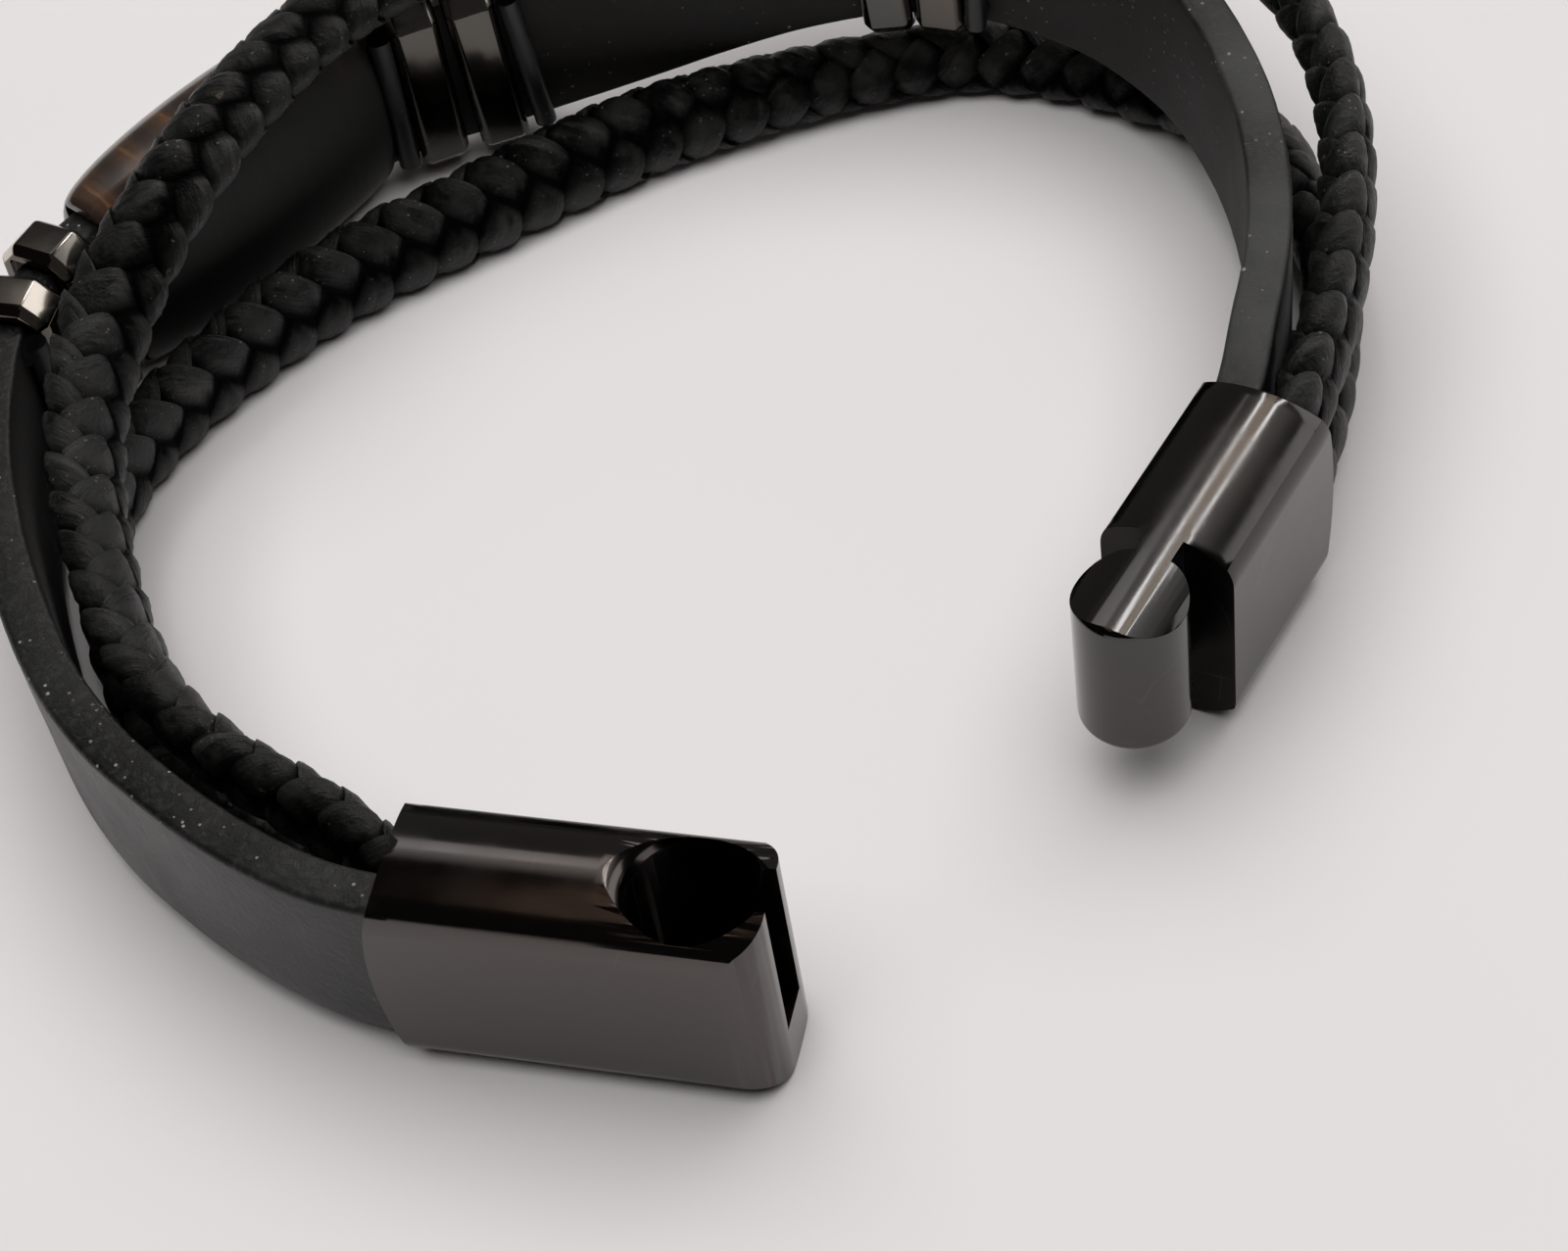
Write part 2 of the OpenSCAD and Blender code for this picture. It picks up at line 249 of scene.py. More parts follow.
def between(value, low, high, toLow=0.0, toHigh=1.0):
    node = addNode("MapRange", {"interpolation_type": "SMOOTHSTEP"})
    for place, entry in enumerate((value, low, high, toLow, toHigh)):
        socketIn(node.inputs[place], entry)
    return node.outputs[0]


def cloud(vector, scale, detail=3.0, rough=0.5, distort=0.0):
    return addNode("TexNoise", Vector=vector, Scale=scale, Detail=detail,
                   Roughness=rough, Distortion=distort).outputs[0]


def patches(vector, scale, low, high, detail=3.0, rough=0.5):
    return between(cloud(vector, scale, detail, rough), low, high)


def partOf(vector, axis):
    return addNode("SeparateXYZ", Vector=vector).outputs[axis]


def stretched(vector, scale, turn=(0, 0, 0), place=(0, 0, 0), kind="POINT"):
    return addNode("Mapping", {"vector_type": kind}, Vector=vector, Scale=scale,
                   Rotation=turn, Location=place).outputs[0]


def newGroup(name, inputs, outputs):
    group = atHand["tree"] = bpy.data.node_groups.new(name, "ShaderNodeTree")
    for label, value in inputs.items():
        kind = "NodeSocketVector" if value is None else "NodeSocketFloat"
        made = group.interface.new_socket(name=label, in_out="INPUT", socket_type=kind)
        if value is not None:
            made.default_value = value
    for label in outputs:
        group.interface.new_socket(name=label, in_out="OUTPUT", socket_type="NodeSocketFloat")
    return group, group.nodes.new("NodeGroupInput").outputs, group.nodes.new("NodeGroupOutput").inputs


def useGroup(group, **sockets):
    return addNode("Group", {"node_tree": group}, **sockets).outputs


# Effects that several materials share
def makeGrain():
    # leather grain: rounded pebbles with fine pores, and a mask of the pebbles' tops
    group, given, made = newGroup(
        "leather grain", {"Vector": None, "Pebble Scale": 2200.0, "Pebble Depth": 1.0, "Pore Depth": 0.4},
        ["Height", "Shade"])
    drift = addNode("TexNoise", Vector=given["Vector"], Scale=900.0, Detail=2.0)
    wobbled = mixColour(0.0006, given["Vector"], drift.outputs[1], "LINEAR_LIGHT")
    cells = addNode("TexVoronoi", {"feature": "SMOOTH_F1"}, Vector=wobbled,
                    Scale=given["Pebble Scale"], Smoothness=0.5).outputs[0]
    top = calculate("SUBTRACT", 0.7, cells)
    pores = cloud(given["Vector"], times(given["Pebble Scale"], 3.1), 4.0, 0.65)
    socketIn(made["Height"], timesPlus(top, given["Pebble Depth"], times(pores, given["Pore Depth"])))
    socketIn(made["Shade"], between(top, 0.1, 0.6))
    return group


def makeDust():
    # small pale specks that gather in patches
    group, given, made = newGroup(
        "dust specks", {"Vector": None, "Scale": 1500.0, "Size": 0.24, "Amount": 0.5}, ["Mask"])
    cells = addNode("TexVoronoi", Vector=given["Vector"], Scale=given["Scale"])
    size = times(given["Size"], cloud(given["Vector"], 2100.0, 1.0))
    patch = patches(given["Vector"], 160.0, 0.42, 0.62)
    specks = times(calculate("LESS_THAN", cells.outputs[0], size), patch)
    socketIn(made["Mask"], times(specks, given["Amount"]))
    return group


def makeHairlines():
    # hairline scratches in two directions, where a patch lets them show, and a mask of smudges
    group, given, made = newGroup(
        "hairline scratches", {"Vector": None, "Scale": 260.0, "Amount": 1.0}, ["Mask", "Smudge"])
    lines = []
    for scale, turn, level, width in (((1.0, 0.06, 0.5), (0.3, 0.2, 0.7), 0.5, 0.0035),
                                      ((0.05, 1.0, 0.6), (0.1, 0.9, 0.25), 0.47, 0.003)):
        streaks = cloud(stretched(given["Vector"], scale, turn), given["Scale"], 1.0)
        lines.append(calculate("LESS_THAN", apart(streaks, level), width))
    patch = patches(given["Vector"], 190.0, 0.5, 0.66, 2.0)
    shown = times(calculate("MAXIMUM", *lines), patch)
    socketIn(made["Mask"], times(shown, given["Amount"]))
    smudges = cloud(given["Vector"], 120.0, 5.0, 0.6, 0.6)
    socketIn(made["Smudge"], between(smudges, 0.35, 0.7))
    return group


grainGroup, dustGroup, hairGroup = makeGrain(), makeDust(), makeHairlines()


def newMaterial(name, slotColour):
    material = bpy.data.materials.new(name)
    material.use_nodes = True
    material.diffuse_color = (*slotColour, 1)
    atHand["tree"] = material.node_tree
    return material, addNode("TexCoord").outputs["Object"]


def finished(material, colour, rough, bump, deep, height, **others):
    # joins the colour, roughness and height to the shader, and sets or joins the others that are given
    shader = material.node_tree.nodes["Principled BSDF"]
    relief = addNode("Bump", Strength=bump, Distance=deep * mm, Height=height)
    values = {"Base Color": colour, "Roughness": rough, "Normal": relief.outputs[0], **others}
    for label, value in values.items():
        socketIn(shader.inputs[label.replace("_", " ")], value)
    return material


steelLook = {
    "hairline": (0.55, 0.52, 0.5), "cloudScale": 70.0, "smudge": 0.7, "hairlineDull": 0.25,
    "rippleScale": 420.0, "hairlineDepth": 0.6, "bump": 0.3, "depth": 0.02,
}
steelFinishes = {
    "gunmetal": {"dark": (0.099, 0.0955, 0.097), "warm": (0.102, 0.091, 0.087), "rough": 0.15, "wear": 0.02},
    # the same gunmetal made darker for the post half, which paints its reflections darker
    "gunmetalPostShaded": {
        "dark": (0.078, 0.077, 0.0765), "warm": (0.08, 0.073, 0.069), "rough": 0.15, "wear": 0.03},
    # a near-black copy of the gunmetal that paints the shade inside the bore, slot and gaps
    "gunmetalPaintedShade": {
        "dark": (0.014, 0.0125, 0.0125), "warm": (0.018, 0.015, 0.014), "rough": 0.36, "wear": 0.1},
    "ringSteel": {"dark": (0.1, 0.1, 0.094), "warm": (0.13, 0.115, 0.1), "rough": 0.14, "wear": 0.1},
    # a far paler steel for the rings' chamfers, which paints their bright glints
    "ringSteelPaintedGlint": {"dark": (0.6, 0.57, 0.53), "warm": (0.68, 0.62, 0.56), "rough": 0.2, "wear": 0.3},
}


def polishedSteel(name, dark, warm, rough, wear):
    # polished dark steel: a faint brown cloud in its colour, smudges in its gloss, hairlines on top
    material, place = newMaterial(name, dark)
    hairs = useGroup(hairGroup, Vector=place, Amount=wear)
    tint = patches(place, steelLook["cloudScale"], 0.35, 0.7, 2.0)
    colour = mixColour(tint, dark, warm)
    colour = mixColour(hairs["Mask"], colour, steelLook["hairline"])
    gloss = timesPlus(hairs["Smudge"], rough * steelLook["smudge"], rough * steelLook["smudge"])
    gloss = timesPlus(hairs["Mask"], steelLook["hairlineDull"], gloss)
    ripple = cloud(place, steelLook["rippleScale"], 2.0)
    height = timesPlus(hairs["Mask"], -steelLook["hairlineDepth"], ripple)
    return finished(material, colour, gloss, steelLook["bump"], steelLook["depth"], height, Metallic=1.0)


steel = {name: polishedSteel(name, **finish) for name, finish in steelFinishes.items()}
print("stage: shared effects and steels made")


# The clasp halves, each modelled along X from its own axis and then turned into place
socketAxis, socketHeading = (12.5, -37), 0
postAxis, postHeading = (29.5, -17.6), -107.9
clasp = {
    "high": 12.8, "thick": 7.2, "rise": 1.35, "wall": 0.55, "roundness": 96, "bulge": 1, "edge": 0.2,
    "edgeSteps": 3, "topShoulder": 2.3, "footShoulder": 1.85, "shoulderSteps": 14,
    "pocketDeep": 7, "pocketHigh": 10.3, "pocketCorner": 0.35, "pocketSteps": 4,
    "socketBack": 15.4, "socketFront": 3.8, "socketCorner": 2.3, "cornerSteps": 14, "bore": 6, "slot": 2.4,
    "keyholeFloor": 3.2, "boreEdge": 1.2, "boreSteps": 14, "mouthStart": 0.9,
    "post": 5.7, "postBack": 15.5, "postGap": 3.9, "neck": 1.9, "foot": 3.9, "footEdge": 0.5, "footSteps": 6,
    "postEdge": 0.4, "postSteps": 8, "wasteSide": 5,
    # narrow rows of faces: from the end of the bore's mouth, from the back end and from the post's gap
    "mouthRows": (0.1, 0.4), "backRows": (1.5, 1.8), "gapRows": (0.8, 0.5),
    # where shade is painted inside: how far past the walls it reaches, and how much stays bright, without
    # painted shade, at rims and on the neck
    "insideMargin": 0.04, "mouthDark": 0.2, "frontBright": 0.1, "gapMargin": 0.05, "neckDark": 1.6,
    "topBright": 0.6,
}


def claspBar(name, start, end):
    # a round bar cut flat on both sides, whose two halves are moved apart to the clasp's height
    thick, high, rise, bulge = clasp["thick"], clasp["high"], clasp["rise"], clasp["bulge"]
    radius = (thick * thick / 4 + rise * rise) / (2 * rise)
    bar = cylinder(name, clasp["roundness"], radius, end - start + spare,
                   ((start + end - spare) / 2, 0, high / 2), (0, math.pi / 2, 0))
    openMesh()
    for side in (-1, 1):
        bpy.ops.mesh.select_all(action="SELECT")
        bpy.ops.mesh.bisect(plane_co=(0, side * thick / 2 * mm, 0), plane_no=(0, side, 0), use_fill=True,
                            clear_outer=True, threshold=1e-7)
    for way in (-1, 1):
        pick(bar, "VERT", lambda v: (v.co.z / mm - high / 2) * way > 0)
        bpy.ops.transform.translate(value=(0, 0, way * (high / 2 - radius) * mm))
    # soft shoulders where the arches meet the flat sides
    half = thick / 2 + sliver
    shoulders = block("shoulders", (start - 2 * spare, -half, 0), (end + 2 * spare, half, high))
    openMesh()
    for width, way in ((clasp["topShoulder"], 1), (clasp["footShoulder"], -1)):
        bevelWhere(shoulders, lambda e: runs(e, 0) > 2 * spare
                   and (e.verts[0].co.z / mm - high / 2) * way > high / 2 - 2 * sliver,
                   width, clasp["shoulderSteps"])
    combine(bar, shoulders, "INTERSECT")
    # the end that the strands go in bulges backwards
    wheel = (high * high / 4 + bulge * bulge) / (2 * bulge)
    combine(bar, cylinder("bulgedEnd", 3 * clasp["roundness"], wheel, 2 * thick,
                          (start + wheel, 0, high / 2), (math.pi / 2, 0, 0)), "INTERSECT")
    return bar


def cutPocket(body, back):
    wide = clasp["thick"] / 2 - clasp["wall"]
    low = (clasp["high"] - clasp["pocketHigh"]) / 2
    cutter = block("pocketCutter", (-back - spare, -wide, low),
                   (-back + clasp["pocketDeep"], wide, clasp["high"] - low))
    openMesh()
    bevelWhere(cutter, lambda e: runs(e, 0) > 2 * spare, clasp["pocketCorner"], clasp["pocketSteps"])
    combine(body, cutter, "DIFFERENCE")


def boreMouth():
    # a round mouth that flares upwards, so that the arched top falls softly into the bore
    soft, radius, steps = clasp["boreEdge"], clasp["bore"] / 2, clasp["boreSteps"]
    flare = clasp["high"] - soft
    wide, place = radius * clasp["mouthStart"], flare - soft
    unselect()
    bpy.ops.mesh.primitive_circle_add(vertices=clasp["roundness"], radius=wide * mm, fill_type="NGON",
                                      location=(0, 0, place * mm))
    mouth = fresh("boreMouth")
    openMesh()
    for step in range(steps + 2):
        a = math.pi / 2 * min(step / steps, 1)
        nextWide = radius + soft * (1 - math.cos(a))
        nextPlace = flare + soft * math.sin(a) + (2 * soft if step > steps else 0)
        pullOut(0, 0, nextPlace - place)
        bpy.ops.transform.resize(value=(nextWide / wide, nextWide / wide, 1),
                                 center_override=(0, 0, nextPlace * mm))
        wide, place = nextWide, nextPlace
    faceOutwards(mouth)
    return mouth


def cutRows(piece, places):
    # narrow rows of faces keep the long ones beside them evenly shaded
    choose(piece)
    openMesh()
    for x in places:
        bpy.ops.mesh.select_all(action="SELECT")
        bpy.ops.mesh.bisect(plane_co=(x * mm, 0, 0), plane_no=(1, 0, 0))


def finishHalf(piece, node, axis, heading, metal, isInPaintedShade):
    softenEdges(piece, clasp["edge"], clasp["edgeSteps"])
    # the faces that the rule picks get the second material, painted shade
    for polygon in piece.data.polygons:  # the walls of the bore and the gaps take the second material
        if isInPaintedShade(*(polygon.center / mm)):
            polygon.material_index = 1
    place = Vector((axis[0] - planMiddle[0], axis[1] - planMiddle[1], 0)) * mm
    putInPlace(piece, Matrix.Translation(place) @ Matrix.Rotation(math.radians(heading), 4, "Z"))
    delivered(piece, node, "gunmetal", metal, steel["gunmetalPaintedShade"])


def makeSocket():
    front, back, high, floor = [clasp[k] for k in ("socketFront", "socketBack", "high", "keyholeFloor")]
    half, radius, slotSide = clasp["thick"] / 2 + 2 * sliver, clasp["bore"] / 2, clasp["slot"] / 2
    body = claspBar("claspSocketBody", -back, front)
    plan = block("plan", (-back - spare, -half, -spare), (front + 2 * sliver, half, high + spare))
    openMesh()
    bevelWhere(plan, lambda e: all(v.co.x > 0 for v in e.verts) and runs(e, 2) > 2 * spare,
               clasp["socketCorner"], clasp["cornerSteps"])
    combine(body, plan, "INTERSECT")
    bore = cylinder("bore", clasp["roundness"], radius, high, (0, 0, floor + high / 2))
    combine(bore, block("slot", (0, -slotSide, floor), (front + spare, slotSide, floor + high)), "UNION")
    combine(body, bore, "DIFFERENCE")
    mouthEnd = -radius - clasp["boreEdge"]
    cutRows(body, [mouthEnd - x for x in clasp["mouthRows"]] + [x - back for x in clasp["backRows"]])
    combine(body, boreMouth(), "DIFFERENCE")
    cutPocket(body, back)
    margin, below = clasp["insideMargin"], high - clasp["boreEdge"] + clasp["mouthDark"]
    finishHalf(body, "clasp_socket", socketAxis, socketHeading, steel["gunmetal"], lambda x, y, z: (
        z < below and x < front - clasp["frontBright"]
        and (math.hypot(x, y) < radius + margin or (x > 0 and abs(y) < slotSide + margin))))


def makePost():
    gap, back, foot, high = [clasp[k] for k in ("postGap", "postBack", "foot", "high")]
    side, neckSide, near = clasp["wasteSide"], clasp["neck"] / 2, 0.1
    body = claspBar("claspPostBody", -back, clasp["post"])
    # everything in front of the body goes, apart from the post and its neck
    waste = block("waste", (-gap, -side, -spare), (clasp["post"] + spare, side, high + spare))
    bar = cylinder("postBar", clasp["roundness"], clasp["post"] / 2, high - foot, (0, 0, (high + foot) / 2))
    openMesh()
    bevelWhere(bar, lambda e: all(v.co.z < (foot + near) * mm for v in e.verts), clasp["footEdge"],
               clasp["footSteps"])
    bevelWhere(bar, lambda e: all(v.co.z > (high - near) * mm for v in e.verts), clasp["postEdge"],
               clasp["postSteps"])
    neck = block("neck", (-gap - spare, -neckSide, foot), (-spare, neckSide, high + 2 * spare))
    combine(bar, neck, "UNION")
    combine(waste, bar, "DIFFERENCE")
    cutRows(body, [x - back for x in clasp["backRows"]] + [-gap - x for x in clasp["gapRows"]])
    combine(body, waste, "DIFFERENCE")
    cutPocket(body, back)
    margin = clasp["gapMargin"]
    # the post half takes the darker copy of the gunmetal, painted shade
    finishHalf(body, "clasp_post", postAxis, postHeading, steel["gunmetalPostShaded"], lambda x, y, z: (
        -gap - margin < x < -gap + margin
        or (-gap - margin < x < -clasp["neckDark"] and z < high - clasp["topBright"])))


makeSocket()
makePost()
print("stage: clasp made")


# Tools for the strands, which are long tubes round a route
pocketStops = (6.7, 3, 0)  # how deep in a clasp half's pocket each route has its points


def inPocket(side, *rest, atStart=True):
    # three route points in the socket's pocket, outwards, or in the post's, inwards: rest is height and lean
    axis, heading, back = ((socketAxis, socketHeading, clasp["socketBack"]) if atStart
                           else (postAxis, postHeading, clasp["postBack"]))
    ahead = np.array((math.cos(math.radians(heading)), math.sin(math.radians(heading))))
    left = np.array((-ahead[1], ahead[0]))
    return [[*(np.array(axis) - ahead * (back - stop) + left * side), *rest]
            for stop in (pocketStops if atStart else pocketStops[::-1])]


def meshPiece(name, vertices, faces, loopUvs=None, faceMaterials=None):
    mesh = bpy.data.meshes.new(name)
    mesh.from_pydata([tuple(v) for v in vertices], [], faces)
    if loopUvs is not None:
        layer = mesh.uv_layers.new(name="UVMap")
        layer.data.foreach_set("uv", np.array(loopUvs, float).ravel())
    if faceMaterials is not None:
        mesh.polygons.foreach_set("material_index", faceMaterials)
    mesh.update()
    piece = bpy.data.objects.new(name, mesh)
    intoScene(piece)
    return piece


def uneven(x, y, z, seed):
    return noise.noise(Vector((x + seed * 17.3, y - seed * 5.1, z + seed * 3.7)))


def tube(base, rows, n, us, vs):
    # side faces and end caps of a tube whose rows of n points start at base, and their UVs
    faces, uvs = [], []
    for i in range(rows - 1):
        for k in range(n):
            a, b = base + i * n + k, base + i * n + (k + 1) % n
            faces.append((a, b, b + n, a + n))
            uvs += [(us[i], vs[k]), (us[i], vs[k + 1]), (us[i + 1], vs[k + 1]), (us[i + 1], vs[k])]
    for cap in (range(base, base + n)[::-1], range(base + (rows - 1) * n, base + rows * n)):
        faces.append(tuple(cap))
        uvs += [(0, 0)] * n
    return faces, uvs


# The strap is one long band: rounded corners, slightly domed edges and a hand-cut unevenness
strap = {
    "wide": 10, "thick": 2.4, "outerCorner": 0.36, "innerCorner": 0.28, "dome": 0.06, "step": 0.5,
    "curveSteps": 16, "cornerSteps": 5, "edgeSteps": 2, "sideSteps": 7, "unevenness": 0.05,
    # the waves' pace along and across the strap and their share, and how much of each end is even
    "slowWave": (0.22, 0.3, 0.7), "quickWave": (0.9, 0.8, 0.3), "edgeWave": (0.16, 0.2, 1.6),
    "edgeRows": 0.7, "held": 6, "edgeReach": 0.62, "smooth": 50,
}
strapLook = {
    "dust": (0.3, 0.29, 0.27), "patchScale": 110.0, "patchDull": 0.14, "dustDull": 0.4,
    # first on the next line: the span across the plan, in metres, where the painted shade of the left half
    # fades out
    "leftShadeEnds": (-0.012, 0.022), "grainShade": 0.25, "wrinkleWay": (1.0, 1.0, 0.22),
    "wrinkleScale": 420.0, "wrinkleDepth": 1.6, "bump": 0.55,
}
strapFinishes = {
    "strapOuter": {
        "dark": (0.006, 0.006, 0.0065), "pale": (0.014, 0.014, 0.0145), "rough": 0.34, "pebbles": 1.0,
        "pores": 0.4, "dust": 0.5, "deep": 0.045},
    # the edge keeps a fifth of its pale patches on the left half, painted shade
    "strapEdge": {
        "dark": (0.003, 0.0031, 0.0031), "pale": (0.046, 0.0465, 0.045), "rough": 0.42, "pebbles": 0.5,
        "pores": 0.9, "dust": 0.9, "deep": 0.08, "leftPaleUnderShade": 0.2},
    "strapInner": {
        "dark": (0.0055, 0.0048, 0.0045), "pale": (0.014, 0.0118, 0.0105), "rough": 0.62, "pebbles": 0.2,
        "pores": 0.9, "dust": 0.5, "deep": 0.05},
}
strapRoute = inPocket(-1.7, 1.4) + [
    [-5.9, -38.2, 1.4], [-9.3, -37, 1.4], [-12.5, -35.5, 1.4], [-15.9, -33.5, 1.4], [-19.2, -31.2, 1.4],
    [-22.6, -28, 1.4], [-26, -23.7, 1.4], [-29, -19, 1.4], [-31.5, -14.2, 1.4], [-33.3, -9.2, 1.4],
    [-34.35, -4.5, 1.5], [-33.95, -0.2, 1.6], [-32.8, 3.4, 1.6], [-30.8, 7, 1.6], [-28.8, 10.6, 1.6],
    [-26.8, 14.2, 1.6], [-24.8, 17.8, 1.6], [-22.8, 20.9, 1.6], [-19.9, 23.3, 1.6], [-16.3, 25.3, 1.7],
    [-12, 27.4, 2.1], [-7.4, 29.3, 2.9], [-2.6, 31, 3.9], [2.2, 32.6, 4.7], [6.6, 33.7, 5.1],
    [10.2, 33.9, 5.2], [14, 33.4, 5.1], [17.6, 32.4, 4.8], [20.6, 31, 4.5], [23.4, 29, 4.2],
    [26, 26.3, 4.1], [28.2, 23.1, 3.8], [30.3, 19.3, 3], [31.8, 15, 2.5], [32.6, 11, 2.1],
    [32.9, 7, 1.7], [32.8, 3, 1.5]] + inPocket(-1.7, 1.4, atStart=False)


def strapMaterial(name, dark, pale, rough, pebbles, pores, dust, deep, leftPaleUnderShade=1.0):
    # grained leather with worn pale patches; a left share below 1 keeps fewer of them on the left half of
    # the loop, which paints the shade there
    material, place = newMaterial(name, dark)
    grain = useGroup(grainGroup, Vector=place, Pebble_Depth=pebbles, Pore_Depth=pores)
    dusty = useGroup(dustGroup, Vector=place, Amount=dust)["Mask"]
    patch = patches(place, strapLook["patchScale"], 0.3, 0.75, 4.0, 0.6)
    patch = times(patch, between(partOf(place, 0), *strapLook["leftShadeEnds"], leftPaleUnderShade, 1.0))
    shade = mixColour(patch, dark, pale)
    shade = mixColour(times(grain["Shade"], strapLook["grainShade"]), shade, pale)
    shade = mixColour(dusty, shade, strapLook["dust"])
    gloss = timesPlus(dusty, strapLook["dustDull"], timesPlus(patch, strapLook["patchDull"], rough))
    # long soft wrinkles that cross the strap, with the grain on top
    wrinkles = cloud(stretched(place, strapLook["wrinkleWay"]), strapLook["wrinkleScale"], 3.0, 0.55, 0.5)
    height = timesPlus(wrinkles, strapLook["wrinkleDepth"], grain["Height"])
    return finished(material, shade, gloss, strapLook["bump"], deep, height)


def strapOutline():
    # the section's points, outwards and upwards from its middle
    halfT, halfW = strap["thick"] / 2, strap["wide"] / 2
    outer, inner, steps = strap["outerCorner"], strap["innerCorner"], strap["cornerSteps"]
    corners = ((halfT - outer, halfW - outer, outer, 0), (inner - halfT, halfW - inner, inner, 90),
               (inner - halfT, inner - halfW, inner, 180), (halfT - outer, outer - halfW, outer, 270))

    def onCorner(place, degrees):
        x, y, radius, start = corners[place % 4]
        a = math.radians(start + degrees)
        return x + radius * math.cos(a), y + radius * math.sin(a)

    points = []
    for place in range(4):
        points += [onCorner(place, 90 / steps * k) for k in range(steps + 1)]
        (x, y), (goalX, goalY) = points[-1], onCorner(place + 1, 0)
        isEdge = place in (0, 2)  # the upper edge bulges up and the lower one down
        count = strap["edgeSteps"] if isEdge else strap["sideSteps"]
        for k in range(1, count + 1):
            t = k / (count + 1)
            bulge = strap["dome"] * 4 * t * (1 - t) * (1 - place) if isEdge else 0
            points.append((x + (goalX - x) * t, y + (goalY - y) * t + bulge))
    return points


def makeStrap():
    curve, places = spread(smoothCurve(strapRoute, strap["curveSteps"]), strap["step"])
    out, outline = leftOf(curve), strapOutline()
    n, rows, halfW = len(outline), len(places), strap["wide"] / 2
    slow, quick, edge = strap["slowWave"], strap["quickWave"], strap["edgeWave"]
    vertices = []
    for i, s in enumerate(places):
        toEnd = min(s, places[-1] - s) - strap["held"]
        free = strap["unevenness"] * min(1, max(0, toEnd) / strap["held"])
        for p, q in outline:
            push = (uneven(s * slow[0], q * slow[1], p, 1) * slow[2]
                    + uneven(s * quick[0], q * quick[1], p, 2) * quick[2])
            isEdge = abs(q) > halfW - strap["edgeRows"]
            lift = uneven(s * edge[0], p * edge[1], 0, 3) * edge[2] if isEdge else 0
            rise = halfW + q + lift * free
            vertices.append((curve[i, :3] + out[i] * (p + push * free) + (0, 0, rise)) * mm)
    following = outline[1:] + outline[:1]
    around = np.concatenate([[0], np.cumsum([math.dist(a, b) for a, b in zip(outline, following)])])
    faces, uvs = tube(0, rows, n, places * mm, around * mm)
    kinds = []  # 0 on the outer face, 1 on the edges and end caps, 2 on the inner face
    for a, b in zip(outline, following):
        isOut = a[0] + b[0] > 0
        reach = strap["outerCorner" if isOut else "innerCorner"] * strap["edgeReach"]
        kinds.append(1 if abs(a[1] + b[1]) / 2 > halfW - reach else (0 if isOut else 2))
    piece = meshPiece("strapBand", vertices, faces, uvs, kinds * (rows - 1) + [1, 1])
    faceOutwards(piece)
    smoothByAngle(piece, strap["smooth"])
    delivered(piece, "flat_strap", "strap_leather",
              *[strapMaterial(name, **finish) for name, finish in strapFinishes.items()])


makeStrap()
print("stage: strap made")


# Each braid is eight flat laces, four each way round, over two and under two
braid = {
    "wide": 5.5, "thick": 3.4, "endWide": 4.9, "endThick": 3.2, "laces": 4, "perPeriod": 40,
    "curveSteps": 16, "smooth": 70, "laceWide": 2.8, "laceThick": 0.84, "dive": 0.64, "diveShape": 0.7,
    "ownPlace": 0.15, "under": 0.22, "middleDepth": 0.5, "roll": 22, "rollWobble": 4, "skin": 0.12,
    "proud": 0.45, "profile": 14, "profileWide": 0.85, "profileThick": 0.5,
    # a lace's width and thickness: their share, what its level adds and what its unevenness adds
    "wideShares": (0.8, 0.2, 0.07), "thickShares": (0.88, 0.14, 0.1),
    # each lace's own wandering and flatness: pace along it, and step from lace to lace
    "wobblePace": (0.31, 9.1), "flatPace": (0.6, 5.3), "wobbleTurn": 0.012, "wobbleDepth": 0.05,
    # after the creases: the depth where painted shade in the crevices begins, and how much deeper it is full
    "creasePace": (1.1, 1.7, 3.3), "crease": 0.08, "paintedShadeFrom": 0.27, "paintedShadeOver": 0.18,
    # where along the braid the weave turns round the oval, and which way its chevrons point
    "turnedAt": (0, 0.2, 0.45, 0.75, 1), "pointsAt": (0, 0.5, 0.68, 1), "points": (1, 1, -1, -1),
    # the UV map: a lace's way round in metres, and what keeps the laces' creases different
    "uvRound": 0.005, "uvLace": 301.7, "uvBraid": 97.3,
}
laceLook = {
    "dark": (0.0014, 0.0015, 0.0016), "worn": (0.0122, 0.0125, 0.0114),
    "crease": (0.036, 0.036, 0.033), "dust": (0.26, 0.25, 0.23), "fray": (0.17, 0.125, 0.085),
    # first on the next line: the near-black painted shade of the crevices
    "paintedShade": (0.0008, 0.0008, 0.0008), "creaseWay": (160.0, 900.0, 1.0), "fineScale": 2600.0,
    "patchScale": 360.0, "frayScale": 700.0, "rough": 0.5, "patchDull": 0.16, "creaseGloss": 0.2,
    "gloss": 0.5, "paintedShadeDull": 0.46, "bump": 0.8, "deep": 0.12,
}
